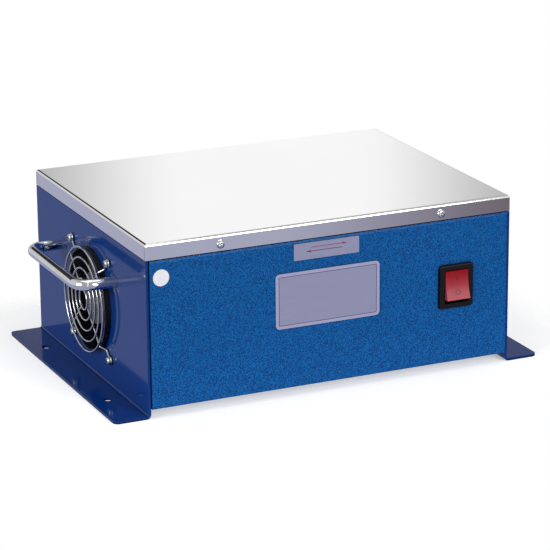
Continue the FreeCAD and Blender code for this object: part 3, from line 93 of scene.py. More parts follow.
def dress(finish, *names):
    """Give CAD nodes a finish."""
    for name in names:
        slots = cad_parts[name].data.materials
        slots.clear()
        slots.append(finish)


# Where a Mix node of colours takes its share, its first and its second colour, and where it gives the blend.
SHARE = 0
FIRST = 6
SECOND = 7
BLEND = 2
SEAM_REACH = 0.003


def paint_seam_shade(tree, tone):
    """A paint's tone with painted shade in its seams, darkened close to whatever stands near."""
    # Painted shade: an occlusion node darkens the tone towards dark navy within SEAM_REACH of any other
    # surface.
    near = add_node(tree, "ShaderNodeAmbientOcclusion", {"Distance": SEAM_REACH})
    unshaded_share = add_node(tree, "ShaderNodeMapRange", {"Value": near.outputs["AO"], "From Min": 0.55,
                                                  "From Max": 0.9})
    seam_shaded = add_node(tree, "ShaderNodeMix", {SHARE: unshaded_share.outputs[0], FIRST: linear("#020A1C"),
                                              SECOND: tone}, data_type="RGBA")
    return seam_shaded.outputs[BLEND]


# Stoved gloss enamel: a smooth hard skin over blue pigment, with a faint orange peel some 3 mm across, so
# that it mirrors whatever stands close to it a little softly.
gloss_enamel, tree, shader, place = start_finish("gloss_blue_enamel")
drift = add_node(tree, "ShaderNodeTexNoise", {"Vector": place, "Scale": 1 / 0.06, "Detail": 2})
pigment = add_node(tree, "ShaderNodeMix", {SHARE: drift.outputs[0], FIRST: linear("#083276"),
                                           SECOND: linear("#0B387F")}, data_type="RGBA")
haze = add_node(tree, "ShaderNodeMapRange", {"Value": drift.outputs[0], "To Min": 0.07, "To Max": 0.12})
peel = add_node(tree, "ShaderNodeTexNoise", {"Vector": place, "Scale": 1 / 0.003, "Detail": 1})
skin = add_node(tree, "ShaderNodeBump", {"Strength": 0.06, "Distance": 0.0001, "Height": peel.outputs[0]})
# The enamel's colour carries painted shade in its seams.
feed(tree, shader, {"Base Color": paint_seam_shade(tree, pigment.outputs[BLEND]), "Roughness": haze.outputs[0],
                    "Normal": skin.outputs[0], "Specular IOR Level": 0.2})
dress(gloss_enamel, "left_side_panel", "right_side_panel")


# Front and rear panels: 1.5 mm sheet steel folded on all four sides, standing 2 mm proud of the side walls.
# They are sprayed with a hammer-finish paint and held from inside, so that no screw shows on their faces.

# Hammer finish: the paint draws up into dimples a little over 1 mm across while it dries, darker in their
# floors and brighter on the ridges between. It is rough enough to mirror next to nothing.
hammer_finish, tree, shader, place = start_finish("hammer_blue_paint")
dimples = add_node(tree, "ShaderNodeTexVoronoi", {"Vector": place, "Scale": 1 / 0.0011, "Smoothness": 0.7},
                   feature="SMOOTH_F1")
worms = add_node(tree, "ShaderNodeTexNoise", {"Vector": place, "Scale": 1 / 0.0006, "Detail": 1,
                                              "Roughness": 0.62, "Distortion": 0.6})
ridge = add_node(tree, "ShaderNodeMath", {0: dimples.outputs["Distance"], 1: worms.outputs[0]},
                 operation="MULTIPLY")
bright = add_node(tree, "ShaderNodeMapRange", {"Value": worms.outputs[0], "From Min": 0.41,
                                               "From Max": 0.61})
paint = add_node(tree, "ShaderNodeMix", {SHARE: bright.outputs[0], FIRST: linear("#02366F"),
                                         SECOND: linear("#0B63AA")}, data_type="RGBA")
relief = add_node(tree, "ShaderNodeBump", {"Strength": 0.35, "Distance": 0.0003, "Height": ridge.outputs[0]})
gloss = add_node(tree, "ShaderNodeMapRange", {"Value": worms.outputs[0], "To Min": 0.28, "To Max": 0.45})
# The hammer paint's colour carries painted shade in its seams.
feed(tree, shader, {"Base Color": paint_seam_shade(tree, paint.outputs[BLEND]), "Roughness": gloss.outputs[0],
                    "Normal": relief.outputs[0], "Specular IOR Level": 0.15})
dress(hammer_finish, "front_panel", "rear_panel")


# Base plate and plain fasteners: cold-rolled sheet and steel hardware, all zinc plated. The plate lies on
# the panels' returns and is held to the side walls by nuts on welded studs.

# Bright zinc plate: a pale bluish metal, crystalline in patches a few millimetres across.
zinc_plate, tree, shader, place = start_finish("bright_zinc_plate")
crystals = add_node(tree, "ShaderNodeTexVoronoi", {"Vector": place, "Scale": 1 / 0.004})
patches = add_node(tree, "ShaderNodeMapRange", {"Value": crystals.outputs["Distance"], "To Min": 0.2,
                                                "To Max": 0.38})
plating = add_node(tree, "ShaderNodeMix", {SHARE: crystals.outputs["Distance"], FIRST: linear("#C4C8CC"),
                                           SECOND: linear("#AEB4BA")}, data_type="RGBA")
feed(tree, shader, {"Base Color": plating.outputs[BLEND], "Roughness": patches.outputs[0], "Metallic": 1})
dress(zinc_plate, "base_plate", "panel_studs", "panel_nuts", "cover_nuts", "handle_screws", "handle_washers",
      "front_core_clamp", "rear_core_clamp", "yoke_bolts", "yoke_nuts", "base_bolts", "base_nuts")


# Magnet: a U-shaped stack of transformer laminations, clamped between two angles, with a coil of enamelled
# copper wire on a moulded bobbin round each leg. Its poles end just under the top cover.

# Transformer steel: dull blue-grey sheets 0.5 mm thick, drawn 2 mm apart so that the layers can be told.
transformer_steel, tree, shader, place = start_finish("transformer_steel")
layers = add_node(tree, "ShaderNodeTexWave", {"Vector": place, "Scale": 1 / 0.002 / math.pi,
                                              "Distortion": 0.4}, bands_direction="Y")
sheets = add_node(tree, "ShaderNodeMix", {SHARE: layers.outputs["Fac"], FIRST: linear("#4A4D52"),
                                          SECOND: linear("#6E7278")}, data_type="RGBA")
edges = add_node(tree, "ShaderNodeBump", {"Strength": 0.4, "Distance": 0.0002,
                                          "Height": layers.outputs["Fac"]})
feed(tree, shader, {"Base Color": sheets.outputs[BLEND], "Normal": edges.outputs[0], "Metallic": 1,
                    "Roughness": 0.48})
dress(transformer_steel, "magnet_core", "fan_stator")

# Enamelled copper: turns of 1.2 mm wire wound side by side, with a clear amber varnish over the metal.
varnished_copper, tree, shader, place = start_finish("varnished_copper_wire")
turns = add_node(tree, "ShaderNodeTexWave", {"Vector": place, "Scale": 1 / 0.0012 / math.pi,
                                             "Distortion": 0.3}, bands_direction="Z")
wire_tone = add_node(tree, "ShaderNodeMix", {SHARE: turns.outputs["Fac"], FIRST: linear("#5E2A14"),
                                             SECOND: linear("#B4622E")}, data_type="RGBA")
round_wire = add_node(tree, "ShaderNodeBump", {"Strength": 0.7, "Distance": 0.0005,
                                               "Height": turns.outputs["Fac"]})
feed(tree, shader, {"Base Color": wire_tone.outputs[BLEND], "Normal": round_wire.outputs[0], "Metallic": 0.8,
                    "Roughness": 0.3, "Coat Weight": 0.6})
dress(varnished_copper, "left_coil", "right_coil")

# Moulded nylon in its natural colour: a cream plastic with a fine spark-eroded grain.
cream_nylon, tree, shader, place = start_finish("cream_nylon")
grain = add_node(tree, "ShaderNodeTexNoise", {"Vector": place, "Scale": 1 / 0.0008, "Detail": 2})
cream = add_node(tree, "ShaderNodeMix", {SHARE: grain.outputs[0], FIRST: linear("#CFC7AE"),
                                         SECOND: linear("#DDD6C2")}, data_type="RGBA")
moulded = add_node(tree, "ShaderNodeBump", {"Strength": 0.15, "Distance": 0.0001,
                                            "Height": grain.outputs[0]})
feed(tree, shader, {"Base Color": cream.outputs[BLEND], "Normal": moulded.outputs[0], "Roughness": 0.5})
dress(cream_nylon, "left_bobbin", "right_bobbin", "terminal_block")


# Wiring: a strip of screw terminals on the base plate, the leads to switch, fan and coils, a small overheat
# cutout on the left coil, and the cable gland and earth screw in the rear panel.

# Brass: a warm metal that dulls in faint clouds.
brass, tree, shader, place = start_finish("turned_brass")
clouds = add_node(tree, "ShaderNodeTexNoise", {"Vector": place, "Scale": 1 / 0.003, "Detail": 3})
warm = add_node(tree, "ShaderNodeMix", {SHARE: clouds.outputs[0], FIRST: linear("#A98A45"),
                                        SECOND: linear("#C9AC62")}, data_type="RGBA")
dull = add_node(tree, "ShaderNodeMapRange", {"Value": clouds.outputs[0], "To Min": 0.22, "To Max": 0.42})
feed(tree, shader, {"Base Color": warm.outputs[BLEND], "Roughness": dull.outputs[0], "Metallic": 1})
dress(brass, "terminal_screws", "switch_terminals", "earth_stud", "earth_nuts")

# Black moulded nylon: a soft satin with a fine eroded grain about 0.6 mm across.
black_nylon, tree, shader, place = start_finish("black_nylon")
grain = add_node(tree, "ShaderNodeTexNoise", {"Vector": place, "Scale": 1 / 0.0006, "Detail": 2})
black = add_node(tree, "ShaderNodeMix", {SHARE: grain.outputs[0], FIRST: linear("#050508"),
                                         SECOND: linear("#0D0C11")}, data_type="RGBA")
satin = add_node(tree, "ShaderNodeMapRange", {"Value": grain.outputs[0], "To Min": 0.32, "To Max": 0.46})
moulded = add_node(tree, "ShaderNodeBump", {"Strength": 0.12, "Distance": 0.0001,
                                            "Height": grain.outputs[0]})
feed(tree, shader, {"Base Color": black.outputs[BLEND], "Roughness": satin.outputs[0],
                    "Normal": moulded.outputs[0], "Specular IOR Level": 0.2})
dress(black_nylon, "cable_gland", "gland_cap", "gland_locknut", "thermal_cutout", "switch_housing")

# Lead insulation: flexible PVC, brown to the switch, black to the fan and white to the coils.
for leads, dark_part, light_part in (
        ("switch_leads", "#4A2A1A", "#5A3524"),
        ("fan_leads", "#131315", "#202024"),
        ("coil_leads", "#BDB9AE", "#D2CFC6")):
    insulation, tree, shader, place = start_finish(f"{leads}_insulation")
    smear = add_node(tree, "ShaderNodeTexNoise", {"Vector": place, "Scale": 1 / 0.01, "Detail": 2})
    sleeve = add_node(tree, "ShaderNodeMix", {SHARE: smear.outputs[0], FIRST: linear(dark_part),
                                              SECOND: linear(light_part)}, data_type="RGBA")
    feed(tree, shader, {"Base Color": sleeve.outputs[BLEND], "Roughness": 0.42})
    dress(insulation, leads)


# Fan: an 80 mm mains fan behind the left side wall. Its frame and impeller are moulded in glass-filled
# plastic, and the hub turns on a steel shaft in a sintered bronze bearing.

# Glass-filled PBT: glossier than nylon, with streaks where the glass fibre flowed. The frame is black, and
# the impeller is charcoal with a higher gloss, so that the blades catch the light behind the guard.
for name, piece, dark_part, light_part, least, most in (
        ("black_pbt", "fan_frame", "#08090A", "#15171A", 0.2, 0.34),
        ("charcoal_pbt", "fan_impeller", "#3A3C44", "#50535C", 0.15, 0.26)):
    filled_pbt, tree, shader, place = start_finish(name)
    flow = add_node(tree, "ShaderNodeTexNoise", {"Vector": place, "Scale": 1 / 0.006, "Detail": 4,
                                                 "Distortion": 1.5})
    streaks = add_node(tree, "ShaderNodeMix", {SHARE: flow.outputs[0], FIRST: linear(dark_part),
                                               SECOND: linear(light_part)}, data_type="RGBA")
    shine = add_node(tree, "ShaderNodeMapRange", {"Value": flow.outputs[0], "To Min": least, "To Max": most})
    feed(tree, shader, {"Base Color": streaks.outputs[BLEND], "Roughness": shine.outputs[0], "IOR": 1.55})
    dress(filled_pbt, piece)

# Sintered bronze and ground steel, hidden inside the hub.
dress(brass, "fan_bearing")
dress(zinc_plate, "fan_shaft", "fan_nuts", "fan_washers")


# Fan guard: five rings of 1.5 mm steel wire welded to four legs. Each leg runs out behind the rings, dips to
# the side wall and ends in an eye under a fan screw. All of it is chromed after welding.
WIRE = 0.0015
WIRE_SIDES = 12
RING_COUNT = 5
RING_PARTS = 72
GUARD_HEIGHT = 0.007
GUARD_OUTER = 0.0379
GUARD_STEP = 0.0076
GUARD_END = 0.008
SLOPE_RUN = 0.0045
SLOPE_BEND = 0.002
WELD_SINK = 0.00025
EYE_RADIUS = 0.0026
BEND_PARTS = 10
SMOOTH_BELOW = math.radians(40)
QUARTER_TURN = math.pi / 2
WALL_X = -0.140
SCREW_PITCH = 0.0715
SCREW_RADIUS = SCREW_PITCH / math.sqrt(2)
OUTWARD = Vector((-1, 0, 0))
low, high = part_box("fan_frame")
FAN_MIDDLE = Vector((WALL_X, (low.y + high.y) / 2, (low.z + high.z) / 2))


def clear_selection():
    """Let go of everything, so that the next step acts on its own piece alone."""
    bpy.ops.object.select_all(action="DESELECT")


def bent_rod(name, width, sides, start, heading, steps):
    """A closed round rod: each step runs on by a length and then turns by an angle round an axis."""
    clear_selection()
    here = Vector(start)
    heading = Vector(heading)
    bpy.ops.mesh.primitive_circle_add(vertices=sides, radius=width / 2, fill_type="NGON", location=here,
                                      rotation=heading.to_track_quat("Z", "Y").to_euler())
    rod = bpy.context.object
    rod.name = name
    bpy.ops.object.transform_apply()
    bpy.ops.object.mode_set(mode="EDIT")
    bpy.ops.mesh.select_all(action="SELECT")
    for length, angle, radius, axis in steps:
        bpy.ops.mesh.extrude_region_move(TRANSFORM_OT_translate={"value": heading * length})
        here = here + heading * length
        if angle:
            centre = here + axis.cross(heading) * radius
            bpy.ops.mesh.spin(steps=BEND_PARTS, angle=angle, center=centre, axis=-axis)
            turn = Quaternion(axis, angle)
            here = centre + turn @ (here - centre)
            heading = turn @ heading
    bpy.ops.mesh.select_all(action="SELECT")
    bpy.ops.mesh.normals_make_consistent(inside=False)
    bpy.ops.object.mode_set(mode="OBJECT")
    bpy.ops.object.shade_smooth_by_angle(angle=SMOOTH_BELOW)
    return rod


def join(name, pieces):
    """Make several meshes one piece."""
    clear_selection()
    for piece in pieces:
        piece.select_set(True)
    bpy.context.view_layer.objects.active = pieces[0]
    bpy.ops.object.join()
    pieces[0].name = name
    return pieces[0]


def wire_ring(middle, radius):
    """A ring of guard wire that faces out of the side wall."""
    clear_selection()
    bpy.ops.mesh.primitive_torus_add(major_radius=radius, minor_radius=WIRE / 2, major_segments=RING_PARTS,
                                     minor_segments=WIRE_SIDES, location=middle,
                                     rotation=(0, QUARTER_TURN, 0))
    bpy.ops.object.transform_apply()
    bpy.ops.object.shade_smooth()
    return bpy.context.object


ring_plane = FAN_MIDDLE + OUTWARD * (GUARD_HEIGHT - WIRE / 2)
wires = [wire_ring(ring_plane, GUARD_OUTER - number * GUARD_STEP) for number in range(RING_COUNT)]
slope_rise = GUARD_HEIGHT - 2 * WIRE + WELD_SINK
slope_foot = GUARD_OUTER + SLOPE_RUN
slope_top = GUARD_OUTER + WIRE / 2
slope_length = math.hypot(slope_rise, slope_foot - slope_top)
slope_angle = math.atan2(slope_rise, slope_foot - slope_top)
bend_share = SLOPE_BEND * math.tan(slope_angle / 2)
for quarter in range(4):
    turn = QUARTER_TURN / 2 + quarter * QUARTER_TURN
    radial = Vector((0, math.cos(turn), math.sin(turn)))
    eye = FAN_MIDDLE + radial * SCREW_RADIUS + OUTWARD * WIRE / 2
    wires.append(wire_ring(eye, EYE_RADIUS))
    up_axis = (-radial).cross(OUTWARD)
    wires.append(bent_rod("guard_leg", WIRE, WIRE_SIDES, eye - radial * EYE_RADIUS, -radial, [
        (SCREW_RADIUS - EYE_RADIUS - slope_foot - bend_share, slope_angle, SLOPE_BEND, up_axis),
        (slope_length - 2 * bend_share, slope_angle, SLOPE_BEND, -up_axis),
        (slope_top - bend_share - GUARD_END, 0, 0, up_axis),
    ]))
guard = join("guard_wires", wires)

# Chrome plate on drawn wire: a thin hard mirror, greyer than on polished rod, with the wire's ripple under
# it, drawn 4 mm across.
wire_chrome, tree, shader, place = start_finish("wire_chrome_plate")
ripple = add_node(tree, "ShaderNodeTexNoise", {"Vector": place, "Scale": 1 / 0.004, "Detail": 2})
grey_tone = add_node(tree, "ShaderNodeMix", {SHARE: ripple.outputs[0], FIRST: linear("#AEB0B6"),
                                             SECOND: linear("#C4C5C9")}, data_type="RGBA")
polish = add_node(tree, "ShaderNodeMapRange", {"Value": ripple.outputs[0], "To Min": 0.06, "To Max": 0.14})
drawn = add_node(tree, "ShaderNodeBump", {"Strength": 0.06, "Distance": 0.0001, "Height": ripple.outputs[0]})
feed(tree, shader, {"Base Color": grey_tone.outputs[BLEND], "Roughness": polish.outputs[0],
                    "Normal": drawn.outputs[0], "Metallic": 1})
guard.data.materials.append(wire_chrome)
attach(guard, "case")
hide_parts("fan_guard")


# Fan screws: four M3 pan-head screws with a cross recess, through the guard's eyes, the wall and the fan.
# Each is cold headed, so the rim of its head is round and the recess is punched.
FAN_HEAD = 0.006
FAN_HEAD_HEIGHT = 0.0022
THREAD = 0.003
RECESS = 0.0034
RECESS_BAR = RECESS / 4
HEAD_SIDES = 32
CROWN_SHARE = 0.9
CROWN_PARTS = 6
SQUARE_ON = 0.9


def cross_screw(name, head_width, head_height, length):
    """A screw on Z with its head standing on Z = 0: rim rounded, shank drawn out, cross cut by two bars."""
    clear_selection()
    bpy.ops.mesh.primitive_cylinder_add(vertices=HEAD_SIDES, radius=head_width / 2, depth=head_height,
                                        location=(0, 0, head_height / 2))
    screw = bpy.context.object
    screw.name = name
    bpy.ops.object.transform_apply()
    bpy.ops.object.mode_set(mode="EDIT")
    bpy.ops.mesh.select_mode(type="FACE")
    bpy.ops.mesh.select_all(action="DESELECT")
    bpy.ops.object.mode_set(mode="OBJECT")
    for face in screw.data.polygons:
        face.select = face.normal.z < -SQUARE_ON
    bpy.ops.object.mode_set(mode="EDIT")
    bpy.ops.mesh.inset(thickness=(head_width - THREAD) / 2)
    bpy.ops.mesh.extrude_region_move(TRANSFORM_OT_translate={"value": (0, 0, -length)})
    bpy.ops.mesh.select_all(action="DESELECT")
    bpy.ops.mesh.select_mode(type="EDGE")
    bpy.ops.object.mode_set(mode="OBJECT")
    for edge in screw.data.edges:
        ends = [screw.data.vertices[number].co for number in edge.vertices]
        edge.select = min(end.z for end in ends) > head_height / 2
    bpy.ops.object.mode_set(mode="EDIT")
    bpy.ops.mesh.bevel(offset=head_height * CROWN_SHARE, segments=CROWN_PARTS)
    bpy.ops.object.mode_set(mode="OBJECT")
    for size in ((RECESS, RECESS_BAR, head_height), (RECESS_BAR, RECESS, head_height)):
        clear_selection()
        bpy.ops.mesh.primitive_cube_add(size=1, location=(0, 0, head_height), scale=size)
        bar = bpy.context.object
        clear_selection()
        screw.select_set(True)
        bpy.context.view_layer.objects.active = screw
        cut = screw.modifiers.new("recess", "BOOLEAN")
        cut.object = bar
        cut.operation = "DIFFERENCE"
        bpy.ops.object.modifier_apply(modifier=cut.name)
        bpy.data.objects.remove(bar)
    bpy.ops.object.shade_smooth_by_angle(angle=SMOOTH_BELOW)
    return screw


def set_copies(name, pattern, places):
    """One piece of copies of a pattern, each moved to its place and turned; the pattern itself goes."""
    copies = []
    for spot, turn in places:
        clear_selection()
        pattern.select_set(True)
        bpy.context.view_layer.objects.active = pattern
        bpy.ops.object.duplicate()
        copy = bpy.context.object
        copy.location = spot
        copy.rotation_euler = turn
        bpy.ops.object.transform_apply()
        copies.append(copy)
    bpy.data.objects.remove(pattern)
    return join(name, copies)


leftward = (0, -QUARTER_TURN, 0)
head_plane = FAN_MIDDLE.x - WIRE
corners = [(head_plane, FAN_MIDDLE.y + across * SCREW_PITCH / 2, FAN_MIDDLE.z + up * SCREW_PITCH / 2)
           for across in (-1, 1) for up in (-1, 1)]
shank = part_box("fan_screws")[1].x - head_plane
pattern = cross_screw("fan_screw", FAN_HEAD, FAN_HEAD_HEIGHT, shank)
fan_screws = set_copies("fan_cross_screws", pattern, [(corner, leftward) for corner in corners])
fan_screws.data.materials.append(zinc_plate)
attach(fan_screws, "case")
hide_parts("fan_screws")


# Handles: 8 mm steel rod bent to a wide U, chromed, with a tapped hole in each end for a screw from inside
# the casing. The bends are as tight as the rod takes without flattening.
HANDLE_ROD = 0.008
HANDLE_SIDES = 40
HANDLE_RISE = 0.083
HANDLE_BEND = 0.011

# Chrome plate on polished rod: a hard blue-white mirror, very slightly uneven where the rod was buffed.
rod_chrome, tree, shader, place = start_finish("rod_chrome_plate")
buffing = add_node(tree, "ShaderNodeTexNoise", {"Vector": place, "Scale": 1 / 0.004, "Detail": 2})
mirror_tone = add_node(tree, "ShaderNodeMix", {SHARE: buffing.outputs[0], FIRST: linear("#D8DADF"),
                                               SECOND: linear("#E9EAEC")}, data_type="RGBA")
polish = add_node(tree, "ShaderNodeMapRange", {"Value": buffing.outputs[0], "To Min": 0.03, "To Max": 0.09})
uneven = add_node(tree, "ShaderNodeBump", {"Strength": 0.04, "Distance": 0.0001,
                                           "Height": buffing.outputs[0]})
feed(tree, shader, {"Base Color": mirror_tone.outputs[BLEND], "Roughness": polish.outputs[0],
                    "Normal": uneven.outputs[0], "Metallic": 1})

for name, side in (("left_handle", -1), ("right_handle", 1)):
    low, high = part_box(name)
    foot = high.x if side < 0 else low.x
    leg = (high.x - low.x) - HANDLE_ROD / 2 - HANDLE_BEND
    bar = (high.y - low.y) - HANDLE_ROD - 2 * HANDLE_BEND
    axis = Vector((0, 0, side))
    start = (foot, low.y + HANDLE_ROD / 2, HANDLE_RISE)
    grip = bent_rod(f"{name}_rod", HANDLE_ROD, HANDLE_SIDES, start, (side, 0, 0), [
        (leg, QUARTER_TURN, HANDLE_BEND, axis),
        (bar, QUARTER_TURN, HANDLE_BEND, axis),
        (leg, 0, 0, axis),
    ])
    grip.data.materials.append(rod_chrome)
    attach(grip, "case")
    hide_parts(name)


# Rocker switch: a snap-in mains switch with a lit red key in a black bezel. The key is a translucent
# moulding over a small lamp, and its I and O are hot-stamped.

# Tinted polycarbonate with the lamp on, glowing faintly. Its colour runs from deep red at the top to pinker
# at the bottom: painted shade on the top, which sits deeper in the bezel, and painted light on the proud
# bottom.
lit_red, tree, shader, place = start_finish("lit_red_polycarbonate")
rise = add_node(tree, "ShaderNodeSeparateXYZ", {0: place}).outputs["Z"]
low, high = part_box("switch_rocker")
# Painted shade and light: the key's colour darkens from its bottom to its top, with random blotches over it.
painted_key_shade = add_node(tree, "ShaderNodeMapRange", {"Value": rise, "From Min": low.z, "From Max": high.z})
scatter = add_node(tree, "ShaderNodeTexNoise", {"Vector": place, "Scale": 1 / 0.004, "Detail": 2})
blotch = add_node(tree, "ShaderNodeMapRange", {"Value": scatter.outputs[0], "To Min": -0.12, "To Max": 0.12})
shade_and_blotch = add_node(tree, "ShaderNodeMath", {0: painted_key_shade.outputs[0], 1: blotch.outputs[0]}, operation="ADD",
                use_clamp=True)
red = add_node(tree, "ShaderNodeMix", {SHARE: shade_and_blotch.outputs[0], FIRST: linear("#A23A47"),
                                       SECOND: linear("#850817")}, data_type="RGBA")
feed(tree, shader, {"Base Color": red.outputs[BLEND], "Emission Color": red.outputs[BLEND],
                    "Emission Strength": 0.06, "Roughness": 0.28, "Specular IOR Level": 0.2})
dress(lit_red, "switch_rocker")


# Marks on the key: an upright bar above and a ring below, stamped in dark foil. They lie on the key's hollow
# face and tip with it.
KEY_MIDDLE = Vector((0.0958, -0.106, 0.0643))
KEY_TILT = Quaternion((1, 0, 0), math.radians(-10))
FACE_DEPTH = 0.0067
FACE_CURVE = 0.04305
MARK_RISE = 0.0052
BAR_WIDTH = 0.0009
BAR_LENGTH = 0.004
RING_RADIUS = 0.002
RING_LINE = 0.0006
RING_SIDES = 40
FOIL_RAISED = 0.00008


def on_key(rise):
    """A point on the key's hollow face at a height from its middle, and the way the face looks there."""
    depth = -FACE_DEPTH - FACE_CURVE + math.sqrt(FACE_CURVE ** 2 - rise ** 2)
    outward = Vector((0, -FACE_DEPTH - FACE_CURVE - depth, -rise)).normalized()
    return KEY_MIDDLE + KEY_TILT @ Vector((0, depth, rise)), KEY_TILT @ outward


spot, facing = on_key(MARK_RISE)
clear_selection()
bpy.ops.mesh.primitive_cube_add(size=1, location=spot, rotation=facing.to_track_quat("Z", "Y").to_euler(),
                                scale=(BAR_WIDTH, BAR_LENGTH, 2 * FOIL_RAISED))
bar_mark = bpy.context.object
bpy.ops.object.transform_apply()
spot, facing = on_key(-MARK_RISE)
clear_selection()
bpy.ops.mesh.primitive_circle_add(vertices=RING_SIDES, radius=RING_RADIUS, fill_type="NGON", location=spot,
                                  rotation=facing.to_track_quat("Z", "Y").to_euler())
ring_mark = bpy.context.object
bpy.ops.object.transform_apply()
bpy.ops.object.mode_set(mode="EDIT")
bpy.ops.mesh.select_all(action="SELECT")
bpy.ops.mesh.inset(thickness=RING_LINE)
bpy.ops.mesh.delete(type="FACE")
bpy.ops.mesh.select_all(action="SELECT")
bpy.ops.mesh.extrude_region_move(TRANSFORM_OT_translate={"value": facing * FOIL_RAISED})
bpy.ops.mesh.select_all(action="SELECT")
bpy.ops.mesh.normals_make_consistent(inside=False)
bpy.ops.object.mode_set(mode="OBJECT")
key_marks = join("key_marks", [bar_mark, ring_mark])

# Stamping foil: a matt dark red-brown film, a little thin in places.
stamp_foil, tree, shader, place = start_finish("dark_stamping_foil")
thin = add_node(tree, "ShaderNodeTexNoise", {"Vector": place, "Scale": 1 / 0.0005, "Detail": 2})
foil = add_node(tree, "ShaderNodeMix", {SHARE: thin.outputs[0], FIRST: linear("#1C0609"),
                                        SECOND: linear("#300B11")}, data_type="RGBA")
feed(tree, shader, {"Base Color": foil.outputs[BLEND], "Roughness": 0.5})
key_marks.data.materials.append(stamp_foil)
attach(key_marks, "rocker")


# Name plate: a thin aluminium plate stuck to the front panel. A fine printed line runs round it just inside
# its rim, and the field inside the line is left blank.
PLATE_CORNER = 0.003
CORNER_PARTS = 8
RIM_WIDTH = 0.0022
LINE_WIDTH = 0.0005
LINE_SLOT = 1
FIELD_SLOT = 2
low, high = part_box("name_plate")
clear_selection()
bpy.ops.mesh.primitive_cube_add(size=1, location=(low + high) / 2, scale=high - low)
name_plate = bpy.context.object
name_plate.name = "lined_name_plate"
bpy.ops.object.transform_apply()
bpy.ops.object.mode_set(mode="EDIT")
bpy.ops.mesh.select_mode(type="EDGE")
bpy.ops.mesh.select_all(action="DESELECT")
bpy.ops.object.mode_set(mode="OBJECT")
for edge in name_plate.data.edges:
    one, other = [name_plate.data.vertices[number].co for number in edge.vertices]
    edge.select = abs(one.y - other.y) > (high.y - low.y) / 2
bpy.ops.object.mode_set(mode="EDIT")
bpy.ops.mesh.bevel(offset=PLATE_CORNER, segments=CORNER_PARTS)
bpy.ops.mesh.select_mode(type="FACE")
bpy.ops.mesh.select_all(action="DESELECT")
bpy.ops.object.mode_set(mode="OBJECT")
for face in name_plate.data.polygons:
    face.select = face.normal.y < -SQUARE_ON

# Satin anodised aluminium with a lilac-grey print: brushed along its length, in streaks drawn 0.4 mm apart.
for name, dark_part, light_part in (
        ("plate_rim", "#9A9ABA", "#A6A7C4"),
        ("plate_line", "#54406E", "#604A7A"),
        ("plate_field", "#888AA8", "#9193B1")):
    satin_print, tree, shader, place = start_finish(f"{name}_satin_aluminium")
    along = add_node(tree, "ShaderNodeMapping", {"Vector": place, "Scale": (0.02, 1, 1)})
    brushed = add_node(tree, "ShaderNodeTexNoise", {"Vector": along.outputs[0], "Scale": 1 / 0.0004,
                                                    "Detail": 2})
    ink = add_node(tree, "ShaderNodeMix", {SHARE: brushed.outputs[0], FIRST: linear(dark_part),
                                           SECOND: linear(light_part)}, data_type="RGBA")
    sheen = add_node(tree, "ShaderNodeMapRange", {"Value": brushed.outputs[0], "To Min": 0.36,
                                                  "To Max": 0.5})
    feed(tree, shader, {"Base Color": ink.outputs[BLEND], "Roughness": sheen.outputs[0], "Metallic": 0.25})
    name_plate.data.materials.append(satin_print)
bpy.ops.object.mode_set(mode="EDIT")
for slot, margin in ((LINE_SLOT, RIM_WIDTH), (FIELD_SLOT, LINE_WIDTH)):
    bpy.ops.mesh.inset(thickness=margin)
    name_plate.active_material_index = slot
    bpy.ops.object.material_slot_assign()
bpy.ops.object.mode_set(mode="OBJECT")
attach(name_plate, "case")
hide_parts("name_plate")


# Direction plate: a smaller plate of the same stock above it, printed with two arrows along the way that
# work is drawn over the cover. The arrows are a thin film of red and dark ink.
ARROW_LENGTH = 0.024
ARROW_LINE = 0.0005
HEAD_LENGTH = 0.004
HEAD_SPREAD = 3.4
INK_RAISED = 0.00006
UPPER_RISE = 0.0025
LOWER_RISE = -0.0003
dress(name_plate.data.materials[FIELD_SLOT], "direction_plate")


def travel_arrow(name, middle, way):
    """A thin arrow on the plate: a shaft whose end is widened and drawn to a point."""
    clear_selection()
    bpy.ops.mesh.primitive_plane_add(size=1, location=middle, rotation=(QUARTER_TURN, 0, 0))
    arrow = bpy.context.object
    arrow.name = name
    arrow.scale = (ARROW_LENGTH, ARROW_LINE, 1)
    bpy.ops.object.transform_apply()
    bpy.ops.object.mode_set(mode="EDIT")
    bpy.ops.mesh.select_mode(type="EDGE")
    bpy.ops.mesh.select_all(action="DESELECT")
    bpy.ops.object.mode_set(mode="OBJECT")
    for edge in arrow.data.edges:
        ends = [arrow.data.vertices[number].co for number in edge.vertices]
        edge.select = all((end.x - middle.x) * way > 0 for end in ends)
    bpy.ops.object.mode_set(mode="EDIT")
    tip = (middle.x + way * ARROW_LENGTH / 2, middle.y, middle.z)
    bpy.ops.mesh.extrude_region_move(TRANSFORM_OT_translate={"value": (0, 0, 0)})
    bpy.ops.transform.resize(value=(1, 1, HEAD_SPREAD), center_override=tip)
    bpy.ops.mesh.extrude_region_move(TRANSFORM_OT_translate={"value": (way * HEAD_LENGTH, 0, 0)})
    bpy.ops.mesh.merge(type="CENTER")
    bpy.ops.mesh.select_all(action="SELECT")
    bpy.ops.mesh.extrude_region_move(TRANSFORM_OT_translate={"value": (0, -INK_RAISED, 0)})
    bpy.ops.mesh.select_all(action="SELECT")
    bpy.ops.mesh.normals_make_consistent(inside=False)
    bpy.ops.object.mode_set(mode="OBJECT")
    return arrow


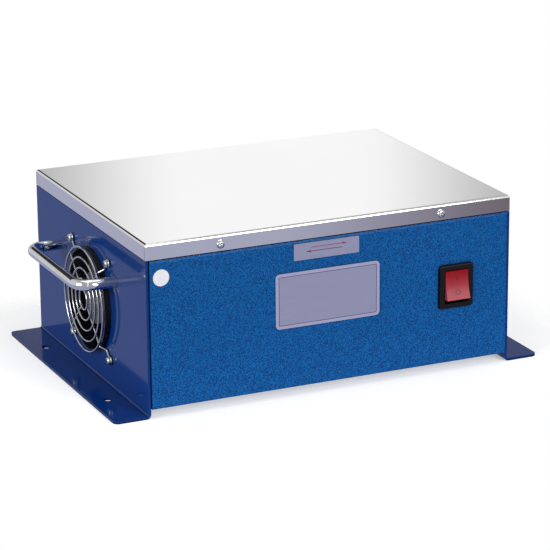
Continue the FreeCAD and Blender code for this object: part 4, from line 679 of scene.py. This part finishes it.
low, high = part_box("direction_plate")
middle = (low + high) / 2
for name, way, rise, code in (
        ("right_arrow", 1, UPPER_RISE, "#8C2C3C"),
        ("left_arrow", -1, LOWER_RISE, "#4A2A3C")):
    arrow = travel_arrow(name, Vector((middle.x, low.y, middle.z + rise)), way)
    # Screen ink: an even matt film with a slightly ragged weight.
    ink_film, tree, shader, place = start_finish(f"{name}_screen_ink")
    weight = add_node(tree, "ShaderNodeTexNoise", {"Vector": place, "Scale": 1 / 0.0006, "Detail": 2})
    film = add_node(tree, "ShaderNodeMix", {SHARE: weight.outputs[0], FIRST: linear(code),
                                            SECOND: linear("#7A3A4C")}, data_type="RGBA")
    feed(tree, shader, {"Base Color": film.outputs[BLEND], "Roughness": 0.55})
    arrow.data.materials.append(ink_film)
    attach(arrow, "case")


# Round label: a disc of white vinyl near the panel's left end, cut from sheet, stuck on by its own glue and
# left blank.

# White vinyl: a smooth satin film, very slightly clouded.
white_vinyl, tree, shader, place = start_finish("white_vinyl")
cloud = add_node(tree, "ShaderNodeTexNoise", {"Vector": place, "Scale": 1 / 0.004, "Detail": 2})
film = add_node(tree, "ShaderNodeMix", {SHARE: cloud.outputs[0], FIRST: linear("#DCDCE4"),
                                        SECOND: linear("#EEEEF2")}, data_type="RGBA")
feed(tree, shader, {"Base Color": film.outputs[BLEND], "Roughness": 0.38})
dress(white_vinyl, "round_label")


# Top cover: a shallow tray of 1.2 mm stainless sheet, its four lips folded down over the casing and left
# open at the corners. It is the working face that the magnet draws through, and is polished bright.

# Polished stainless steel: a soft mirror, with polishing lines along its length drawn 0.5 mm apart.
polished_stainless, tree, shader, place = start_finish("polished_stainless")
along = add_node(tree, "ShaderNodeMapping", {"Vector": place, "Scale": (0.03, 1, 1)})
lines = add_node(tree, "ShaderNodeTexNoise", {"Vector": along.outputs[0], "Scale": 1 / 0.0005, "Detail": 3})
wipe = add_node(tree, "ShaderNodeTexNoise", {"Vector": place, "Scale": 1 / 0.08, "Detail": 2})
steel = add_node(tree, "ShaderNodeMix", {SHARE: wipe.outputs[0], FIRST: linear("#F3F1F2"),
                                         SECOND: linear("#F9F8F8")}, data_type="RGBA")
polish = add_node(tree, "ShaderNodeMapRange", {"Value": wipe.outputs[0], "To Min": 0.05, "To Max": 0.08})
buffed = add_node(tree, "ShaderNodeBump", {"Strength": 0.03, "Distance": 0.0001, "Height": lines.outputs[0]})
feed(tree, shader, {"Base Color": steel.outputs[BLEND], "Roughness": polish.outputs[0],
                    "Normal": buffed.outputs[0], "Metallic": 1})
dress(polished_stainless, "top_cover")


# Cover screws: four M3 round-head screws with a cross recess, two in the front lip and two in the rear one.
# They are zinc plated and hold the cover by nuts inside the casing.
COVER_HEAD = 0.006
COVER_HEAD_HEIGHT = 0.0018
COVER_SHANK = 0.0062
low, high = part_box("cover_screws")
screw_rise = (low.z + high.z) / 2
frontward = (QUARTER_TURN, 0, 0)
backward = (-QUARTER_TURN, 0, 0)
pattern = cross_screw("cover_screw", COVER_HEAD, COVER_HEAD_HEIGHT, COVER_SHANK)
places = []
for across in (low.x + COVER_HEAD / 2, high.x - COVER_HEAD / 2):
    places.append(((across, low.y + COVER_HEAD_HEIGHT, screw_rise), frontward))
    places.append(((across, high.y - COVER_HEAD_HEIGHT, screw_rise), backward))
cover_screws = set_copies("cover_cross_screws", pattern, places)
cover_screws.data.materials.append(zinc_plate)
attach(cover_screws, "case")
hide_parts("cover_screws")


# Stage: a small sheet of white card under the object, fading out into the white round about, and soft boxes
# above. Mirrors don't see the card: they see a pale screen all round with a dark flag high at the back, and
# a lilac-grey ground.
SHEET_SIDE = 0.7
FADE_START = 0.02
FADE_END = 0.07
CARD_LIFT = 0.4
clear_selection()
bpy.ops.mesh.primitive_plane_add(size=SHEET_SIDE)
sheet = bpy.context.object
sheet.name = "white_sheet"
white_card, tree, shader, place = start_finish("white_card")
fibre = add_node(tree, "ShaderNodeTexNoise", {"Vector": place, "Scale": 1 / 0.002, "Detail": 2})
card = add_node(tree, "ShaderNodeMix", {SHARE: fibre.outputs[0], FIRST: linear("#F2F2F2"),
                                        SECOND: linear("#F6F6F6")}, data_type="RGBA")
rays = add_node(tree, "ShaderNodeLightPath", {})
lift = add_node(tree, "ShaderNodeMath", {0: rays.outputs["Is Camera Ray"], 1: CARD_LIFT},
                operation="MULTIPLY")
feed(tree, shader, {"Base Color": card.outputs[BLEND], "Roughness": 0.9, "Emission Color": linear("#FFFFFF"),
                    "Emission Strength": lift.outputs[0]})
out = add_node(tree, "ShaderNodeVectorMath", {0: place}, operation="ABSOLUTE")
past = add_node(tree, "ShaderNodeVectorMath", {0: out.outputs[0], 1: (cad_box[1].x, cad_box[1].y, 0)},
                operation="SUBTRACT")
beyond = add_node(tree, "ShaderNodeVectorMath", {0: past.outputs[0], 1: (0, 0, 0)}, operation="MAXIMUM")
margin = add_node(tree, "ShaderNodeVectorMath", {0: beyond.outputs[0]}, operation="LENGTH")
fade = add_node(tree, "ShaderNodeMapRange", {"Value": margin.outputs["Value"], "From Min": FADE_START,
                                             "From Max": FADE_END}, interpolation_type="SMOOTHSTEP")
unseen = add_node(tree, "ShaderNodeMath", {0: fade.outputs[0], 1: rays.outputs["Is Glossy Ray"]},
                  operation="MAXIMUM")
gone = add_node(tree, "ShaderNodeBsdfTransparent", {})
edged = add_node(tree, "ShaderNodeMixShader", {0: unseen.outputs[0], 1: shader.outputs[0],
                                               2: gone.outputs[0]})
feed(tree, tree.nodes["Material Output"], {"Surface": edged.outputs[0]})
sheet.data.materials.append(white_card)

# The screen is brightest in line with the view, before and behind the object, greyer beside that and pale
# again at its wings. The ground turns brown on the right.
VIEW_RIGHT = (0.911, -0.413, 0)
world = bpy.data.worlds.new("white_studio")
bpy.context.scene.world = world
world.use_nodes = True
tree = world.node_tree
rays = add_node(tree, "ShaderNodeLightPath", {})
way = add_node(tree, "ShaderNodeTexCoord", {}).outputs["Generated"]
along, rearward, height = add_node(tree, "ShaderNodeSeparateXYZ", {0: way}).outputs
sideways = add_node(tree, "ShaderNodeVectorMath", {0: way, 1: VIEW_RIGHT}, operation="DOT_PRODUCT")
off_middle = add_node(tree, "ShaderNodeMath", {0: sideways.outputs["Value"]}, operation="ABSOLUTE")
screen = add_node(tree, "ShaderNodeMapRange", {"Value": off_middle.outputs[0], "From Min": 0.03,
                                               "From Max": 0.1, "To Min": 1, "To Max": 0.45},
                  interpolation_type="SMOOTHSTEP")
wings = add_node(tree, "ShaderNodeMapRange", {"Value": off_middle.outputs[0], "From Min": 0.4,
                                              "From Max": 0.55, "To Min": 0, "To Max": 0.7},
                 interpolation_type="SMOOTHSTEP")
backdrop = add_node(tree, "ShaderNodeMath", {0: screen.outputs[0], 1: wings.outputs[0]}, operation="MAXIMUM")
overhead = add_node(tree, "ShaderNodeMapRange", {"Value": height, "From Min": 0.31, "From Max": 0.38},
                    interpolation_type="SMOOTHSTEP")
behind = add_node(tree, "ShaderNodeMapRange", {"Value": rearward, "From Min": 0.76, "From Max": 0.81},
                  interpolation_type="SMOOTHSTEP")
flag = add_node(tree, "ShaderNodeMath", {0: overhead.outputs[0], 1: behind.outputs[0]}, operation="MULTIPLY")
shade = add_node(tree, "ShaderNodeMapRange", {"Value": flag.outputs[0], "To Min": 1, "To Max": 0.07})
above = add_node(tree, "ShaderNodeMath", {0: backdrop.outputs[0], 1: shade.outputs[0]}, operation="MULTIPLY")
horizon = add_node(tree, "ShaderNodeMapRange", {"Value": height, "From Min": -0.24, "From Max": -0.16},
                   interpolation_type="SMOOTHSTEP")
rightward = add_node(tree, "ShaderNodeMapRange", {"Value": along, "From Min": 0.4, "From Max": 0.49})
ground = add_node(tree, "ShaderNodeMix", {SHARE: rightward.outputs[0], FIRST: linear("#A8ABC2"),
                                          SECOND: linear("#5E4E50")}, data_type="RGBA")
surround = add_node(tree, "ShaderNodeMix", {SHARE: horizon.outputs[0], FIRST: ground.outputs[BLEND],
                                            SECOND: above.outputs[0]}, data_type="RGBA")
mirrored = add_node(tree, "ShaderNodeMath", {0: rays.outputs["Is Glossy Ray"],
                                             1: rays.outputs["Is Transmission Ray"]}, operation="MAXIMUM")
seen = add_node(tree, "ShaderNodeMix", {SHARE: mirrored.outputs[0], FIRST: linear("#949494"),
                                        SECOND: surround.outputs[BLEND]}, data_type="RGBA")
shown = add_node(tree, "ShaderNodeMix", {SHARE: rays.outputs["Is Camera Ray"], FIRST: seen.outputs[BLEND],
                                         SECOND: linear("#FFFFFF")}, data_type="RGBA")
feed(tree, tree.nodes["Background"], {"Color": shown.outputs[BLEND]})


LAMPS_AIM = Vector((0, 0, 0.06))


def soft_box(name, spot, size, power):
    """A square lamp behind a diffuser, turned to look at the object's middle."""
    lamp = bpy.data.lights.new(name, "AREA")
    lamp.size = size
    lamp.energy = power
    holder = bpy.data.objects.new(name, lamp)
    holder.location = spot
    holder.rotation_euler = (LAMPS_AIM - Vector(spot)).to_track_quat("-Z", "Y").to_euler()
    bpy.context.scene.collection.objects.link(holder)


soft_box("front_box", spot=(0.6, -2.2, 0.9), size=1.2, power=38)
soft_box("left_box", spot=(-2.2, -0.6, 0.8), size=1.0, power=28)
soft_box("top_box", spot=(0.0, 0.2, 2.2), size=1.4, power=6)

# Camera at the photograph's viewing angle: a long lens two metres away, which looks down by 17 degrees and
# leans by half a degree.
LOOK = Vector((0.39457, 0.8684, -0.30034))
LEAN = math.radians(-0.461)
lens = bpy.data.cameras.new("camera")
lens.sensor_width = 36
lens.lens = 179.5
camera = bpy.data.objects.new("camera", lens)
camera.location = (-0.78983, -1.74872, 0.65828)
camera.rotation_euler = (LOOK.to_track_quat("-Z", "Y") @ Quaternion((0, 0, 1), LEAN)).to_euler()
bpy.context.scene.collection.objects.link(camera)
bpy.context.scene.camera = camera

bpy.context.scene.view_settings.view_transform = "Standard"
